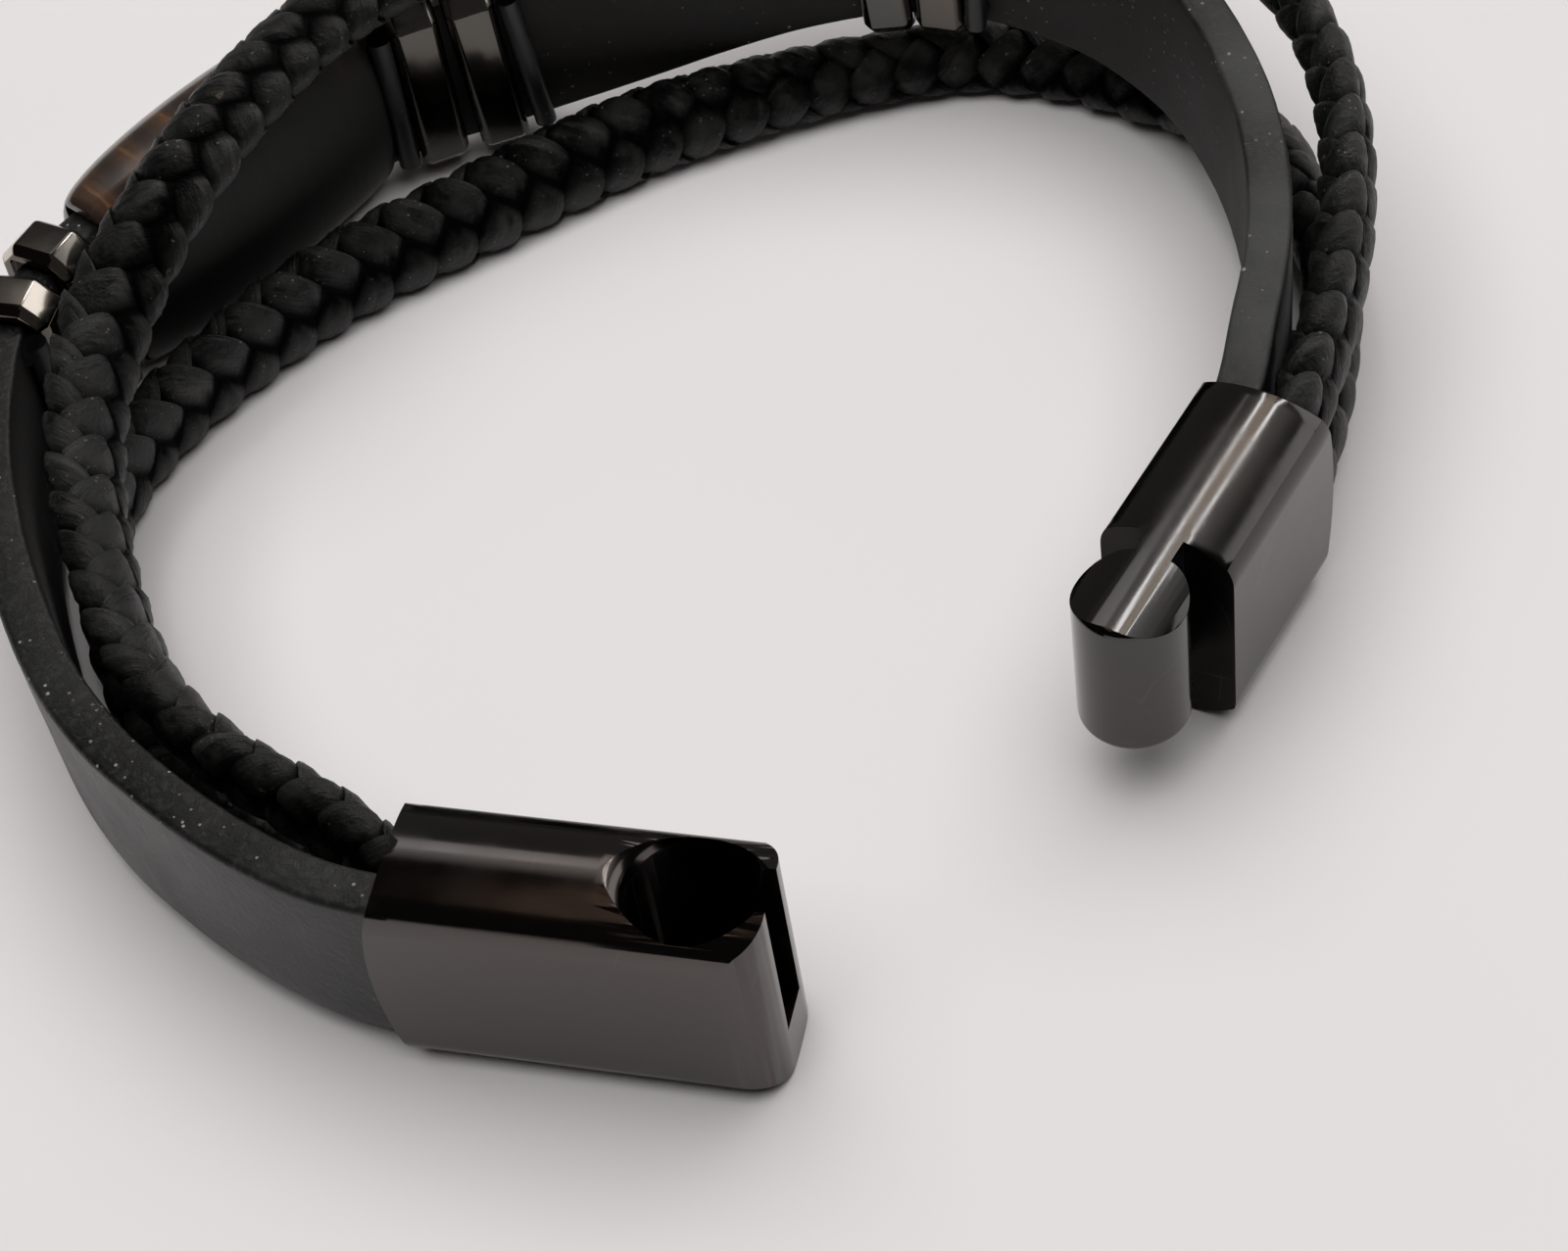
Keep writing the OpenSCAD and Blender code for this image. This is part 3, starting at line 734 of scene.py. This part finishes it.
upperRoute = inPocket(1.3, 9.05, 0) + [
    [-5.4, -34.2, 9.2, 4], [-8.9, -32.5, 9.3, 10], [-12.6, -30.8, 9.3, 16], [-16, -28.6, 9.3, 22],
    [-19.2, -25.6, 9.3, 26], [-22.3, -21.6, 9.4, 28], [-25, -17, 9.6, 30], [-27.1, -12.4, 9.9, 32],
    [-28.4, -7.9, 10.4, 38], [-28.8, -3.4, 11.2, 56], [-28, 0.4, 12.6, 76], [-26.8, 3.6, 14, 88],
    [-25.6, 7.4, 14.9, 92], [-24.5, 11.3, 15.1, 94], [-23.1, 15.2, 15.2, 94], [-20.8, 19.4, 15.3, 92],
    [-17.4, 23.4, 15.5, 90], [-13.2, 27, 15.6, 90], [-8.6, 30.6, 15.6, 90], [-3.8, 34.2, 15.6, 92],
    [1, 37.4, 15.2, 98], [6, 39.9, 14.5, 110], [11, 40.6, 13.8, 122], [16, 39.7, 13.2, 134],
    [21, 37.6, 12.8, 146], [25.4, 34.6, 12.4, 156], [29.2, 31.2, 12, 164], [32.2, 27.4, 11.6, 172],
    [34.3, 23.2, 11.2, 178], [35.7, 18.6, 10.8, 180], [36.4, 13.8, 10.3, 180], [36.6, 9, 9.9, 180],
    [36.4, 4.4, 9.4, 180], [35.9, 0.4, 9.1, 180]] + inPocket(1.3, 9.05, 180, atStart=False)
lowerRoute = inPocket(1.3, 3.75, 0) + [
    [-5.6, -34.5, 3.5, 0], [-9.2, -33.1, 3.3, 0], [-12.8, -31.4, 3.1, 0], [-16.4, -29, 2.9, 0],
    [-19.9, -25.9, 2.85, 0], [-23.1, -21.9, 2.85, 0], [-26.2, -17.2, 2.85, 0], [-28.4, -12.4, 2.85, 2],
    [-28.9, -7.4, 2.85, 6], [-28, -3, 2.85, 10], [-25.9, 1.9, 2.8, 16], [-23.2, 6.6, 2.75, 24],
    [-19.6, 11.2, 2.7, 32], [-15.4, 15.4, 2.6, 40], [-11.1, 19.7, 2.5, 44], [-6.6, 23.8, 2.4, 50],
    [-2, 26.9, 2.25, 60], [2.9, 29.7, 2.1, 66], [7.4, 31.7, 1.95, 70], [11.5, 33, 1.9, 72],
    [15.8, 33.1, 1.85, 78], [19.9, 32.3, 1.75, 88], [23.6, 30.8, 1.8, 96], [27.4, 28.9, 2.05, 112],
    [30.7, 26.1, 2.4, 134], [32.9, 21.8, 2.8, 156], [34.7, 17.4, 2.85, 172], [35.8, 12.8, 2.85, 180],
    [36.1, 8.4, 2.95, 180], [36.1, 4.2, 3.2, 180],
    [35.8, 0.4, 3.5, 180]] + inPocket(1.3, 3.75, 180, atStart=False)


def laceMaterial():
    # waxed laces: creases along each lace, paler worn patches, dusty patches, a few tan frayed edges, and
    # painted shade where the laces sink
    material, place = newMaterial("braidLeather", (0.02, 0.02, 0.021))
    along = addNode("TexCoord").outputs["UV"]
    creases = cloud(stretched(along, laceLook["creaseWay"]), 1.0, 4.0, 0.65, 0.9)
    fine = cloud(place, laceLook["fineScale"], 5.0, 0.7)
    grain = useGroup(grainGroup, Vector=place, Pebble_Scale=3600.0, Pebble_Depth=0.5, Pore_Depth=0.5)
    dusty = useGroup(dustGroup, Vector=place, Scale=2000.0, Amount=0.35)["Mask"]
    patch = patches(place, laceLook["patchScale"], 0.4, 0.62, 6.0, 0.7)
    shade = mixColour(patch, laceLook["dark"], laceLook["worn"])
    shade = mixColour(between(creases, 0.52, 0.7, 0.0, 0.6), shade, laceLook["crease"])
    shade = mixColour(dusty, shade, laceLook["dust"])
    # the lace's own edges run at the quarter marks of its way round
    across = calculate("ABSOLUTE", partOf(along, 1))
    edges = between(apart(across, braid["uvRound"] / 4), 0.00002, 0.0002, 0.7, 0.0)
    frays = patches(place, laceLook["frayScale"], 0.63, 0.68, 5.0, 0.8)
    shade = mixColour(times(edges, frays), shade, laceLook["fray"])
    # painted shade: dark and dull where the laces sink between each other
    paintedShade = addNode("Attribute", {"attribute_name": "creviceShade"}).outputs["Fac"]
    shade = mixColour(paintedShade, shade, laceLook["paintedShade"])
    rough = timesPlus(patch, laceLook["patchDull"],
                      timesPlus(creases, -laceLook["creaseGloss"], laceLook["rough"]))
    height = timesPlus(fine, 0.8, times(grain["Height"], 0.35))
    return finished(material, shade, rough, laceLook["bump"], laceLook["deep"],
                    timesPlus(creases, 2.8, height),
                    Specular_IOR_Level=timesPlus(paintedShade, -laceLook["paintedShadeDull"], laceLook["gloss"]))


def ovalAngles(halfT, halfW):
    # turns an even share of the way round an oval into the oval's own angle, and gives its way round
    angles = np.linspace(0, 2 * math.pi, 1441)
    x, y = halfT * np.cos(angles), halfW * np.sin(angles)
    way = np.concatenate([[0], np.cumsum(np.hypot(np.diff(x), np.diff(y)))])
    return lambda share: np.interp(np.mod(share, 1), way / way[-1], angles), way[-1]


def levelOf(way, weave):
    # 0 where a lace runs under the others and 1 where it runs over them
    return 0.5 - 0.5 * way * np.cos(4 * math.pi * (weave - 0.125))


def makeBraid(name, node, route, material, seed, pitch, turned):
    count, steps = braid["laces"], braid["curveSteps"]
    period = pitch * count
    fine = smoothCurve(route, steps)
    curve, places = spread(fine, period / braid["perPeriod"])
    rows, length = len(places), places[-1]

    # the size grows from the pocket's mouth to the first free point of the route
    def grown(way, marks):
        return np.clip((way - marks[2 * steps]) / (marks[3 * steps] - marks[2 * steps]), 0, 1)

    marks = distancesAlong(fine)
    share = np.minimum(grown(places, marks), grown(length - places, (marks[-1] - marks)[::-1]))
    halfT, halfW = [(braid[end] + share * (braid[full] - braid[end])) / 2
                    for end, full in (("endThick", "thick"), ("endWide", "wide"))]
    out, up, lean = leftOf(curve), np.array((0, 0, 1.0)), np.radians(curve[:, 3])[:, None]
    outLean = out * np.cos(lean) - up * np.sin(lean)
    upLean = out * np.sin(lean) + up * np.cos(lean)
    angleOf, wayRound = ovalAngles(braid["thick"] / 2 - braid["middleDepth"],
                                   braid["wide"] / 2 - braid["middleDepth"])
    slant = math.atan2(wayRound, period)
    shift = np.interp(places / length, braid["turnedAt"], turned)
    points = np.interp(places / length, braid["pointsAt"], braid["points"])

    def along(values, s):
        return np.stack([np.interp(s, places, values[:, k]) for k in range(3)], -1)

    def onBraid(s, turn, depth):
        # a point at a distance along, a share of the way round and a depth under the oval's skin
        s = np.clip(s, 0, length)
        angle = angleOf(turn)
        across = (np.interp(s, places, halfT) - depth) * np.cos(angle)
        rise = (np.interp(s, places, halfW) - depth) * np.sin(angle)
        return along(curve, s) + along(outLean, s) * across[..., None] + along(upLean, s) * rise[..., None]

    n, pace = braid["profile"], braid["creasePace"]
    corners = np.radians((np.arange(n) + 0.5) * 360 / n)
    profileW, profileT = [np.sign(side) * np.abs(side) ** braid[power] for side, power in (
        (np.cos(corners), "profileWide"), (np.sin(corners), "profileThick"))]
    vs = (np.arange(n + 1) - n / 2) / n * braid["uvRound"]
    vertices, faces, uvs, creviceShade = [], [], [], []
    for lace in range(2 * count):
        way = 1 if lace < count else -1
        phase = (lace % count) / count + (0 if way > 0 else 0.5 / count)
        wobble, flat = [np.array([uneven(s * braid[key][0], lace * braid[key][1], z, seed) for s in places])
                        for key, z in (("wobblePace", 0), ("flatPace", 4))]
        weave = way * places / period + phase + wobble * braid["wobbleTurn"]
        turn = weave + shift
        level = levelOf(way, weave)
        level = level * level * (3 - 2 * level)
        wide, thick = [braid[size] / 2 * (a + b * level + c * flat) for size, (a, b, c) in (
            ("laceWide", braid["wideShares"]), ("laceThick", braid["thickShares"]))]
        w = wide[:, None] * profileW[None, :]
        h = thick[:, None] * profileT[None, :]
        turnPoint = turn[:, None] - way * w * math.cos(slant) / wayRound
        # the dive follows partly the lace's middle and partly each point's own place on the oval
        own = levelOf(way, weave[:, None] - braid["ownPlace"] * (turnPoint - turn[:, None]))
        own = np.sign(own - 0.5) * np.abs(2 * own - 1) ** braid["diveShape"] / 2 + 0.5
        # every lace lies on the next one like a scale, lifted on the side that the chevrons point to
        lift = np.tan(np.radians(braid["roll"] * level * points + braid["rollWobble"] * flat))[:, None] * w
        creases = np.array([[uneven(s * pace[0], k * pace[1], lace * pace[2], seed + 5) for k in range(n)]
                            for s in places])
        depth = (braid["dive"] * (1 - own) + braid["laceThick"] / 2 + braid["under"]
                 + braid["wobbleDepth"] * np.abs(wobble)[:, None] - h - lift - braid["crease"] * creases)
        # what stands proud of the braid's skin is pressed flatter
        pressed = braid["skin"] + (depth - braid["skin"]) * braid["proud"]
        depth = np.where(depth < braid["skin"], pressed, depth)
        vertices.append(onBraid(places[:, None] + w * math.sin(slant), turnPoint, depth).reshape(-1, 3) * mm)
        # how deep each point lies sets its painted shade
        creviceShade.append(np.clip((depth - braid["paintedShadeFrom"]) / braid["paintedShadeOver"], 0, 1).ravel())
        middle = onBraid(places, turn, np.full(rows, braid["middleDepth"] + 0.1))
        us = (distancesAlong(middle) + lace * braid["uvLace"] + seed * braid["uvBraid"]) * mm
        laceFaces, laceUvs = tube(lace * rows * n, rows, n, us, vs)
        faces += laceFaces
        uvs += laceUvs
    piece = meshPiece(name, np.concatenate(vertices), faces, uvs)
    piece.data.attributes.new("creviceShade", "FLOAT", "POINT").data.foreach_set("value", np.concatenate(creviceShade))
    faceOutwards(piece)
    smoothByAngle(piece, braid["smooth"])
    delivered(piece, node, "braid_leather", material)


# pitch is the length of one scale along the braid, turned moves the weave round the oval on its way
braids = {
    "upper": {"route": upperRoute, "seed": 1, "pitch": 2.75, "turned": (0.07, 0.1, 0.07, -0.14, -0.18)},
    "lower": {"route": lowerRoute, "seed": 2, "pitch": 2.9, "turned": (0.04, 0.05, 0.04, -0.06, -0.13)},
}
braidLeather = laceMaterial()
for name, values in braids.items():
    makeBraid(name + "BraidLaces", name + "_braid", material=braidLeather, **values)
print("stage: braids made")

# What is threaded on the strap, and how far along it
beadPlaces = {
    "o_ring_a": 54.7, "steel_ring_a1": 57.4, "steel_ring_a2": 61.5, "tiger_eye_slider": 74.5,
    "o_ring_b": 85.9, "steel_ring_b1": 88.4, "steel_ring_b2": 92.2, "o_ring_c": 94.7,
    "steel_ring_c1": 117.1, "steel_ring_c2": 121, "o_ring_d": 123.6,
}
ring = {"long": 3, "high": 12.4, "thick": 5.2, "chamfer": 1.3, "endChamfer": 0.455, "gap": 0.25,
        "edge": 0.14, "edgeSteps": 2, "holeReach": 3, "rimTurn": 0.4}
oRing = {"cord": 1.3, "bendExtra": 0.35, "gap": 0.1, "roundness": 24, "sideSteps": 3, "bendSteps": 8,
         "merge": 0.01, "doubles": 0.005}
stone = {"long": 20, "high": 13.2, "out": 5, "inwards": 3.4, "corner": 0.826, "cornerSteps": 16, "rows": 22,
         "outEnd": 0.5, "inEnd": 0.72, "highEnd": 0.88, "holeThick": 3.2, "holeWide": 10.6, "holeReach": 12,
         "edge": 0.3, "edgeSteps": 4, "edgeAngle": 40}
strapLine = smoothCurve(strapRoute, 4)
strapMarks = distancesAlong(strapLine)


def strapPoint(s):
    spot = [np.interp(s, strapMarks, strapLine[:, k]) for k in range(3)]
    return Vector((spot[0], spot[1], spot[2] + strap["wide"] / 2))


def onStrap(s):
    ahead = strapPoint(s + 1) - strapPoint(s - 1)
    turn = math.atan2(ahead.y, ahead.x)
    tilt = -math.atan2(ahead.z, math.hypot(ahead.x, ahead.y))
    matrix = (Matrix.Translation(strapPoint(s) * mm) @ Matrix.Rotation(turn, 4, "Z")
              @ Matrix.Rotation(tilt, 4, "Y"))
    return matrix, turn, tilt


def rubberMaterial():
    material, place = newMaterial("ringRubber", (0.015, 0.015, 0.015))
    dusty = useGroup(dustGroup, Vector=place, Scale=1500.0, Amount=0.4)["Mask"]
    patch = patches(place, 300.0, 0.3, 0.7, 4.0)
    shade = mixColour(patch, (0.011, 0.011, 0.011), (0.022, 0.022, 0.022))
    return finished(material, mixColour(dusty, shade, (0.3, 0.3, 0.29)),
                    timesPlus(patch, 0.15, 0.36), 0.4, 0.03, cloud(place, 3000.0, 4.0, 0.7))


# The stone's colours from its dark bands to its bright ones, and its back
stoneLook = {
    "bands": ((0.2, (0.016, 0.010, 0.008)), (0.44, (0.024, 0.014, 0.010)), (0.6, (0.036, 0.022, 0.015)),
              (0.76, (0.06, 0.03, 0.016)), (0.88, (0.2, 0.09, 0.03))),
    "backDark": (0.004, 0.0047, 0.0043), "backPale": (0.0095, 0.011, 0.01),
    "outEnds": (-0.003, -0.0014), "backRough": 0.62, "polish": 0.45, "coat": 0.3, "coatRough": 0.1,
}


def stoneMaterial(middle, heading, tilt):
    # silky bands that cross the outer face, and a plain dark back
    material, place = newMaterial("tigerEye", (0.25, 0.11, 0.03))
    own = stretched(place, (1, 1, 1), (0, tilt, heading), middle, "TEXTURE")
    swirl = addNode("TexWave", {"wave_type": "BANDS", "bands_direction": "X"},
                    Vector=stretched(own, (1, 0.3, 0.2), (0, 0.6, 0)), Scale=120.0, Distortion=3.0,
                    Detail=4.0, Detail_Scale=3.0, Detail_Roughness=0.65).outputs[1]
    silk = cloud(stretched(own, (1, 0.1, 0.12), (0, 0.5, 0)), 2600.0, 4.0, 0.6)
    broad = cloud(stretched(own, (1, 0.4, 0.4), (0, 0.5, 0)), 220.0, 2.0)
    bands = timesPlus(silk, 0.3, timesPlus(broad, 0.55, times(swirl, 0.34)))
    ramp = addNode("ValToRGB", Fac=bands)
    while len(ramp.color_ramp.elements) < len(stoneLook["bands"]):
        ramp.color_ramp.elements.new(0.5)
    for element, (spot, colour) in zip(ramp.color_ramp.elements, stoneLook["bands"]):
        element.position, element.color = spot, (*colour, 1)
    back = mixColour(broad, stoneLook["backDark"], stoneLook["backPale"])
    outside = between(partOf(own, 1), *stoneLook["outEnds"])
    rough = timesPlus(outside, -stoneLook["polish"], timesPlus(silk, 0.12, stoneLook["backRough"]))
    return finished(material, mixColour(outside, back, ramp.outputs[0]), rough, 0.15, 0.02, silk,
                    Coat_Weight=times(outside, stoneLook["coat"]),
                    Coat_Roughness=stoneLook["coatRough"], IOR=1.54)


def makeRing():
    halves = [ring[k] / 2 for k in ("long", "thick", "high")]
    piece = block("ringModel", [-h for h in halves], halves)
    openMesh()
    bevelWhere(piece, lambda e: runs(e, 0) > 1, ring["chamfer"], 1)
    bevelWhere(piece, lambda e: runs(e, 0) < 0.01, ring["endChamfer"], 1)
    x, y, z = ring["holeReach"], strap["thick"] / 2 + ring["gap"], strap["wide"] / 2 + ring["gap"]
    combine(piece, block("ringHole", (-x, -y, -z), (x, y, z)), "DIFFERENCE")
    softenEdges(piece, ring["edge"], ring["edgeSteps"])
    # the second material paints a bright glint on the chamfers
    for polygon in piece.data.polygons:  # the chamfers take the second material
        if min(abs(polygon.normal.y), abs(polygon.normal.z)) > ring["rimTurn"]:
            polygon.material_index = 1
    return piece


def makeORing():
    # a quarter by extrude and spin, mirrored twice
    radius = oRing["cord"] / 2
    halfY, halfZ = [strap[k] / 2 + oRing["gap"] + radius for k in ("thick", "wide")]
    bendY, bendZ = [half - radius - oRing["bendExtra"] for half in (halfY, halfZ)]
    unselect()
    bpy.ops.mesh.primitive_circle_add(vertices=oRing["roundness"], radius=radius * mm,
                                      location=(0, halfY * mm, 0))
    piece = fresh("oRingModel")
    openMesh()
    for _ in range(oRing["sideSteps"]):
        pullOut(0, 0, bendZ / oRing["sideSteps"])
    bpy.ops.mesh.spin(steps=oRing["bendSteps"], angle=math.pi / 2, center=(0, bendY * mm, bendZ * mm),
                      axis=(1, 0, 0))
    pullOut(0, -bendY, 0)
    finishWith(piece, "MIRROR", use_axis=(False, True, True), use_mirror_merge=True,
               merge_threshold=oRing["merge"] * mm)
    openMesh()
    bpy.ops.mesh.remove_doubles(threshold=oRing["doubles"] * mm)
    faceOutwards(piece)
    smoothByAngle(piece, 60)
    return piece


def makeStone():
    # a rounded square drawn out row by row, fuller in its middle and on its outer side
    unselect()
    bpy.ops.mesh.primitive_plane_add(size=2 * mm, rotation=(0, math.pi / 2, 0))
    piece = fresh("tigerEyeStone")
    openMesh()
    bpy.ops.mesh.bevel(affect="VERTICES", offset=stone["corner"] * mm, segments=stone["cornerSteps"])
    x, outer, inner, tall = 0, 1, 1, 1
    for row in range(stone["rows"] + 1):
        f = math.sin(-math.pi / 2 + math.pi * row / stone["rows"])
        nextX = f * stone["long"] / 2
        nextOuter, nextInner, nextTall = [
            stone[size] * (stone[end] + (1 - stone[end]) * math.sqrt(max(0, 1 - f * f)))
            for size, end in (("out", "outEnd"), ("inwards", "inEnd"), ("high", "highEnd"))]
        nextTall /= 2
        if row:
            pullOut(nextX - x, 0, 0)
        else:
            bpy.ops.transform.translate(value=(nextX * mm, 0, 0))
        bpy.ops.transform.resize(value=(1, 1, nextTall / tall), center_override=(0, 0, 0))
        here = {v.index for v in bmesh.from_edit_mesh(piece.data).verts if v.select}
        for ratio, way in ((nextOuter / outer, 1), (nextInner / inner, -1)):
            pick(piece, "VERT", lambda v: v.index in here and v.co.y * way > 1e-7)
            bpy.ops.transform.resize(value=(1, ratio, 1), center_override=(0, 0, 0))
        pick(piece, "VERT", lambda v: v.index in here)
        x, outer, inner, tall = nextX, nextOuter, nextInner, nextTall
    faceOutwards(piece)
    x, y, z = stone["holeReach"], stone["holeThick"] / 2, stone["holeWide"] / 2
    combine(piece, block("stoneHole", (-x, -y, -z), (x, y, z)), "DIFFERENCE")
    finishWith(piece, "BEVEL", width=stone["edge"] * mm, segments=stone["edgeSteps"],
               limit_method="ANGLE", angle_limit=math.radians(stone["edgeAngle"]))
    smoothByAngle(piece, 60)
    return piece


def threadBeads():
    # each kind is modelled once and copied to its places, each copy with its own mesh
    kinds = {"steel": (makeRing(), "ring", "ring_steel", [steel["ringSteel"], steel["ringSteelPaintedGlint"]]),
             "o": (makeORing(), "oRing", "ring_rubber", [rubberMaterial()])}
    for node, s in beadPlaces.items():
        words = node.split("_")
        if words[0] in kinds:
            model, name, slot, materials = kinds[words[0]]
            piece = model.copy()
            piece.data = model.data.copy()
            piece.name = name + words[-1].upper()
            intoScene(piece)
            putInPlace(piece, onStrap(s)[0])
            delivered(piece, node, slot, *materials)
    for model, *_ in kinds.values():
        bpy.data.objects.remove(model)
    piece = makeStone()
    matrix, turn, tilt = onStrap(beadPlaces["tiger_eye_slider"])
    putInPlace(piece, matrix)
    delivered(piece, "tiger_eye_slider", "tiger_eye", stoneMaterial(tuple(matrix.translation), turn, tilt))


threadBeads()
print("stage: rings and stone made")

# Table, soft lights and the camera, in metres
studio = {
    "tableSize": 3.0, "tableColour": (0.84, 0.81, 0.805), "tableRough": 0.75, "tableGloss": 0.2,
    "mottle": 1.015, "mottleScale": 25.0,
    # the room is dark behind the camera, with warm walls ahead and a glow overhead
    "roomDark": (0.02, 0.019, 0.018), "roomBack": (0.11, 0.105, 0.1), "roomGlow": (0.9, 0.86, 0.82),
    "glowFrom": (0.62, 0.86), "wallFrom": (0.3, 0.56),
}
view = {
    "place": (0.048163, -0.119364, 0.130751), "right": (0.96974, 0.21599, -0.11387),
    "up": (-0.09279, 0.75738, 0.64635), "ahead": (-0.22585, 0.61622, -0.7545), "lens": 75.12, "sensor": 36,
    "near": 0.005,
}
# Place, size, power and colour of an even fill, window strips behind, pale panels and a warm line above
lights = {
    "fillAbove": ((-0.02, 0.12, 1.05), (1.6, 1.6), 16, (1, 1, 1)),
    "stripLeft": ((0.04, 0.58, 0.7), (0.03, 0.4), 0.42, (1, 1, 1)),
    "stripMiddle": ((0.13, 0.6, 0.72), (0.12, 0.4), 0.2, (1, 0.78, 0.6)),
    "stripRight": ((0.24, 0.57, 0.69), (0.035, 0.4), 0.5, (1, 1, 1)),
    "panelRight": ((0.66, 0.62, 0.42), (0.72, 0.5), 1.35, (1, 0.98, 0.95)),
    "panelBack": ((-0.29, 0.6, 0.75), (0.36, 0.2), 0.21, (1, 0.98, 0.95)),
    "lampAbove": ((-0.25, 0.02, 0.97), (0.8, 0.02), 0.07, (1, 0.72, 0.55)),
}


def makeTable():
    unselect()
    bpy.ops.mesh.primitive_plane_add(size=studio["tableSize"], location=(0, 0, 0))
    table = fresh("table")
    colour = studio["tableColour"]
    material, place = newMaterial("tableTop", colour)
    shader = material.node_tree.nodes["Principled BSDF"].inputs
    mottle = patches(place, studio["mottleScale"], 0.3, 0.7)
    paler = [c * studio["mottle"] for c in colour]
    socketIn(shader["Base Color"], mixColour(mottle, colour, paler))
    shader["Roughness"].default_value = studio["tableRough"]
    shader["Specular IOR Level"].default_value = studio["tableGloss"]
    table.data.materials.append(material)


def softbox(name, place, size, power, colour):
    # aimed at the bracelet: the fill lights all but is never mirrored, and the others are only mirrored
    isFill = name.startswith("fill")
    light = bpy.data.lights.new(name, "AREA")
    light.shape = "RECTANGLE"
    light.size, light.size_y = size
    light.energy = power
    light.color = colour
    lamp = bpy.data.objects.new(name, light)
    lamp.location = place
    lamp.visible_glossy, lamp.visible_diffuse = not isFill, isFill
    lamp.rotation_euler = (-Vector(place)).to_track_quat("-Z", "Y").to_euler()
    intoScene(lamp)


def makeRoom():
    world = bpy.data.worlds.new("room")
    bpy.context.scene.world = world
    world.use_nodes = True
    atHand["tree"] = world.node_tree
    way = addNode("TexCoord").outputs["Generated"]
    dark, wall, glow = [studio[k] for k in ("roomDark", "roomBack", "roomGlow")]
    wall = mixColour(between(partOf(way, 2), *studio["glowFrom"]), wall, glow)
    background = world.node_tree.nodes["Background"].inputs
    socketIn(background["Color"], mixColour(between(partOf(way, 1), *studio["wallFrom"]), dark, wall))
    background["Strength"].default_value = 1.0


def setCamera():
    lens = bpy.data.cameras.new("camera")
    lens.lens, lens.sensor_width, lens.clip_start = view["lens"], view["sensor"], view["near"]
    camera = bpy.data.objects.new("camera", lens)
    rows = zip(view["right"], view["up"], view["ahead"], view["place"])
    camera.matrix_world = Matrix([(r, u, -a, p) for r, u, a, p in rows] + [(0, 0, 0, 1)])
    intoScene(camera)
    bpy.context.scene.camera = camera


makeTable()
for name, values in lights.items():
    softbox(name, *values)
makeRoom()
setCamera()
bpy.context.scene.view_settings.view_transform = "Standard"
print("stage: table, lights and camera set")
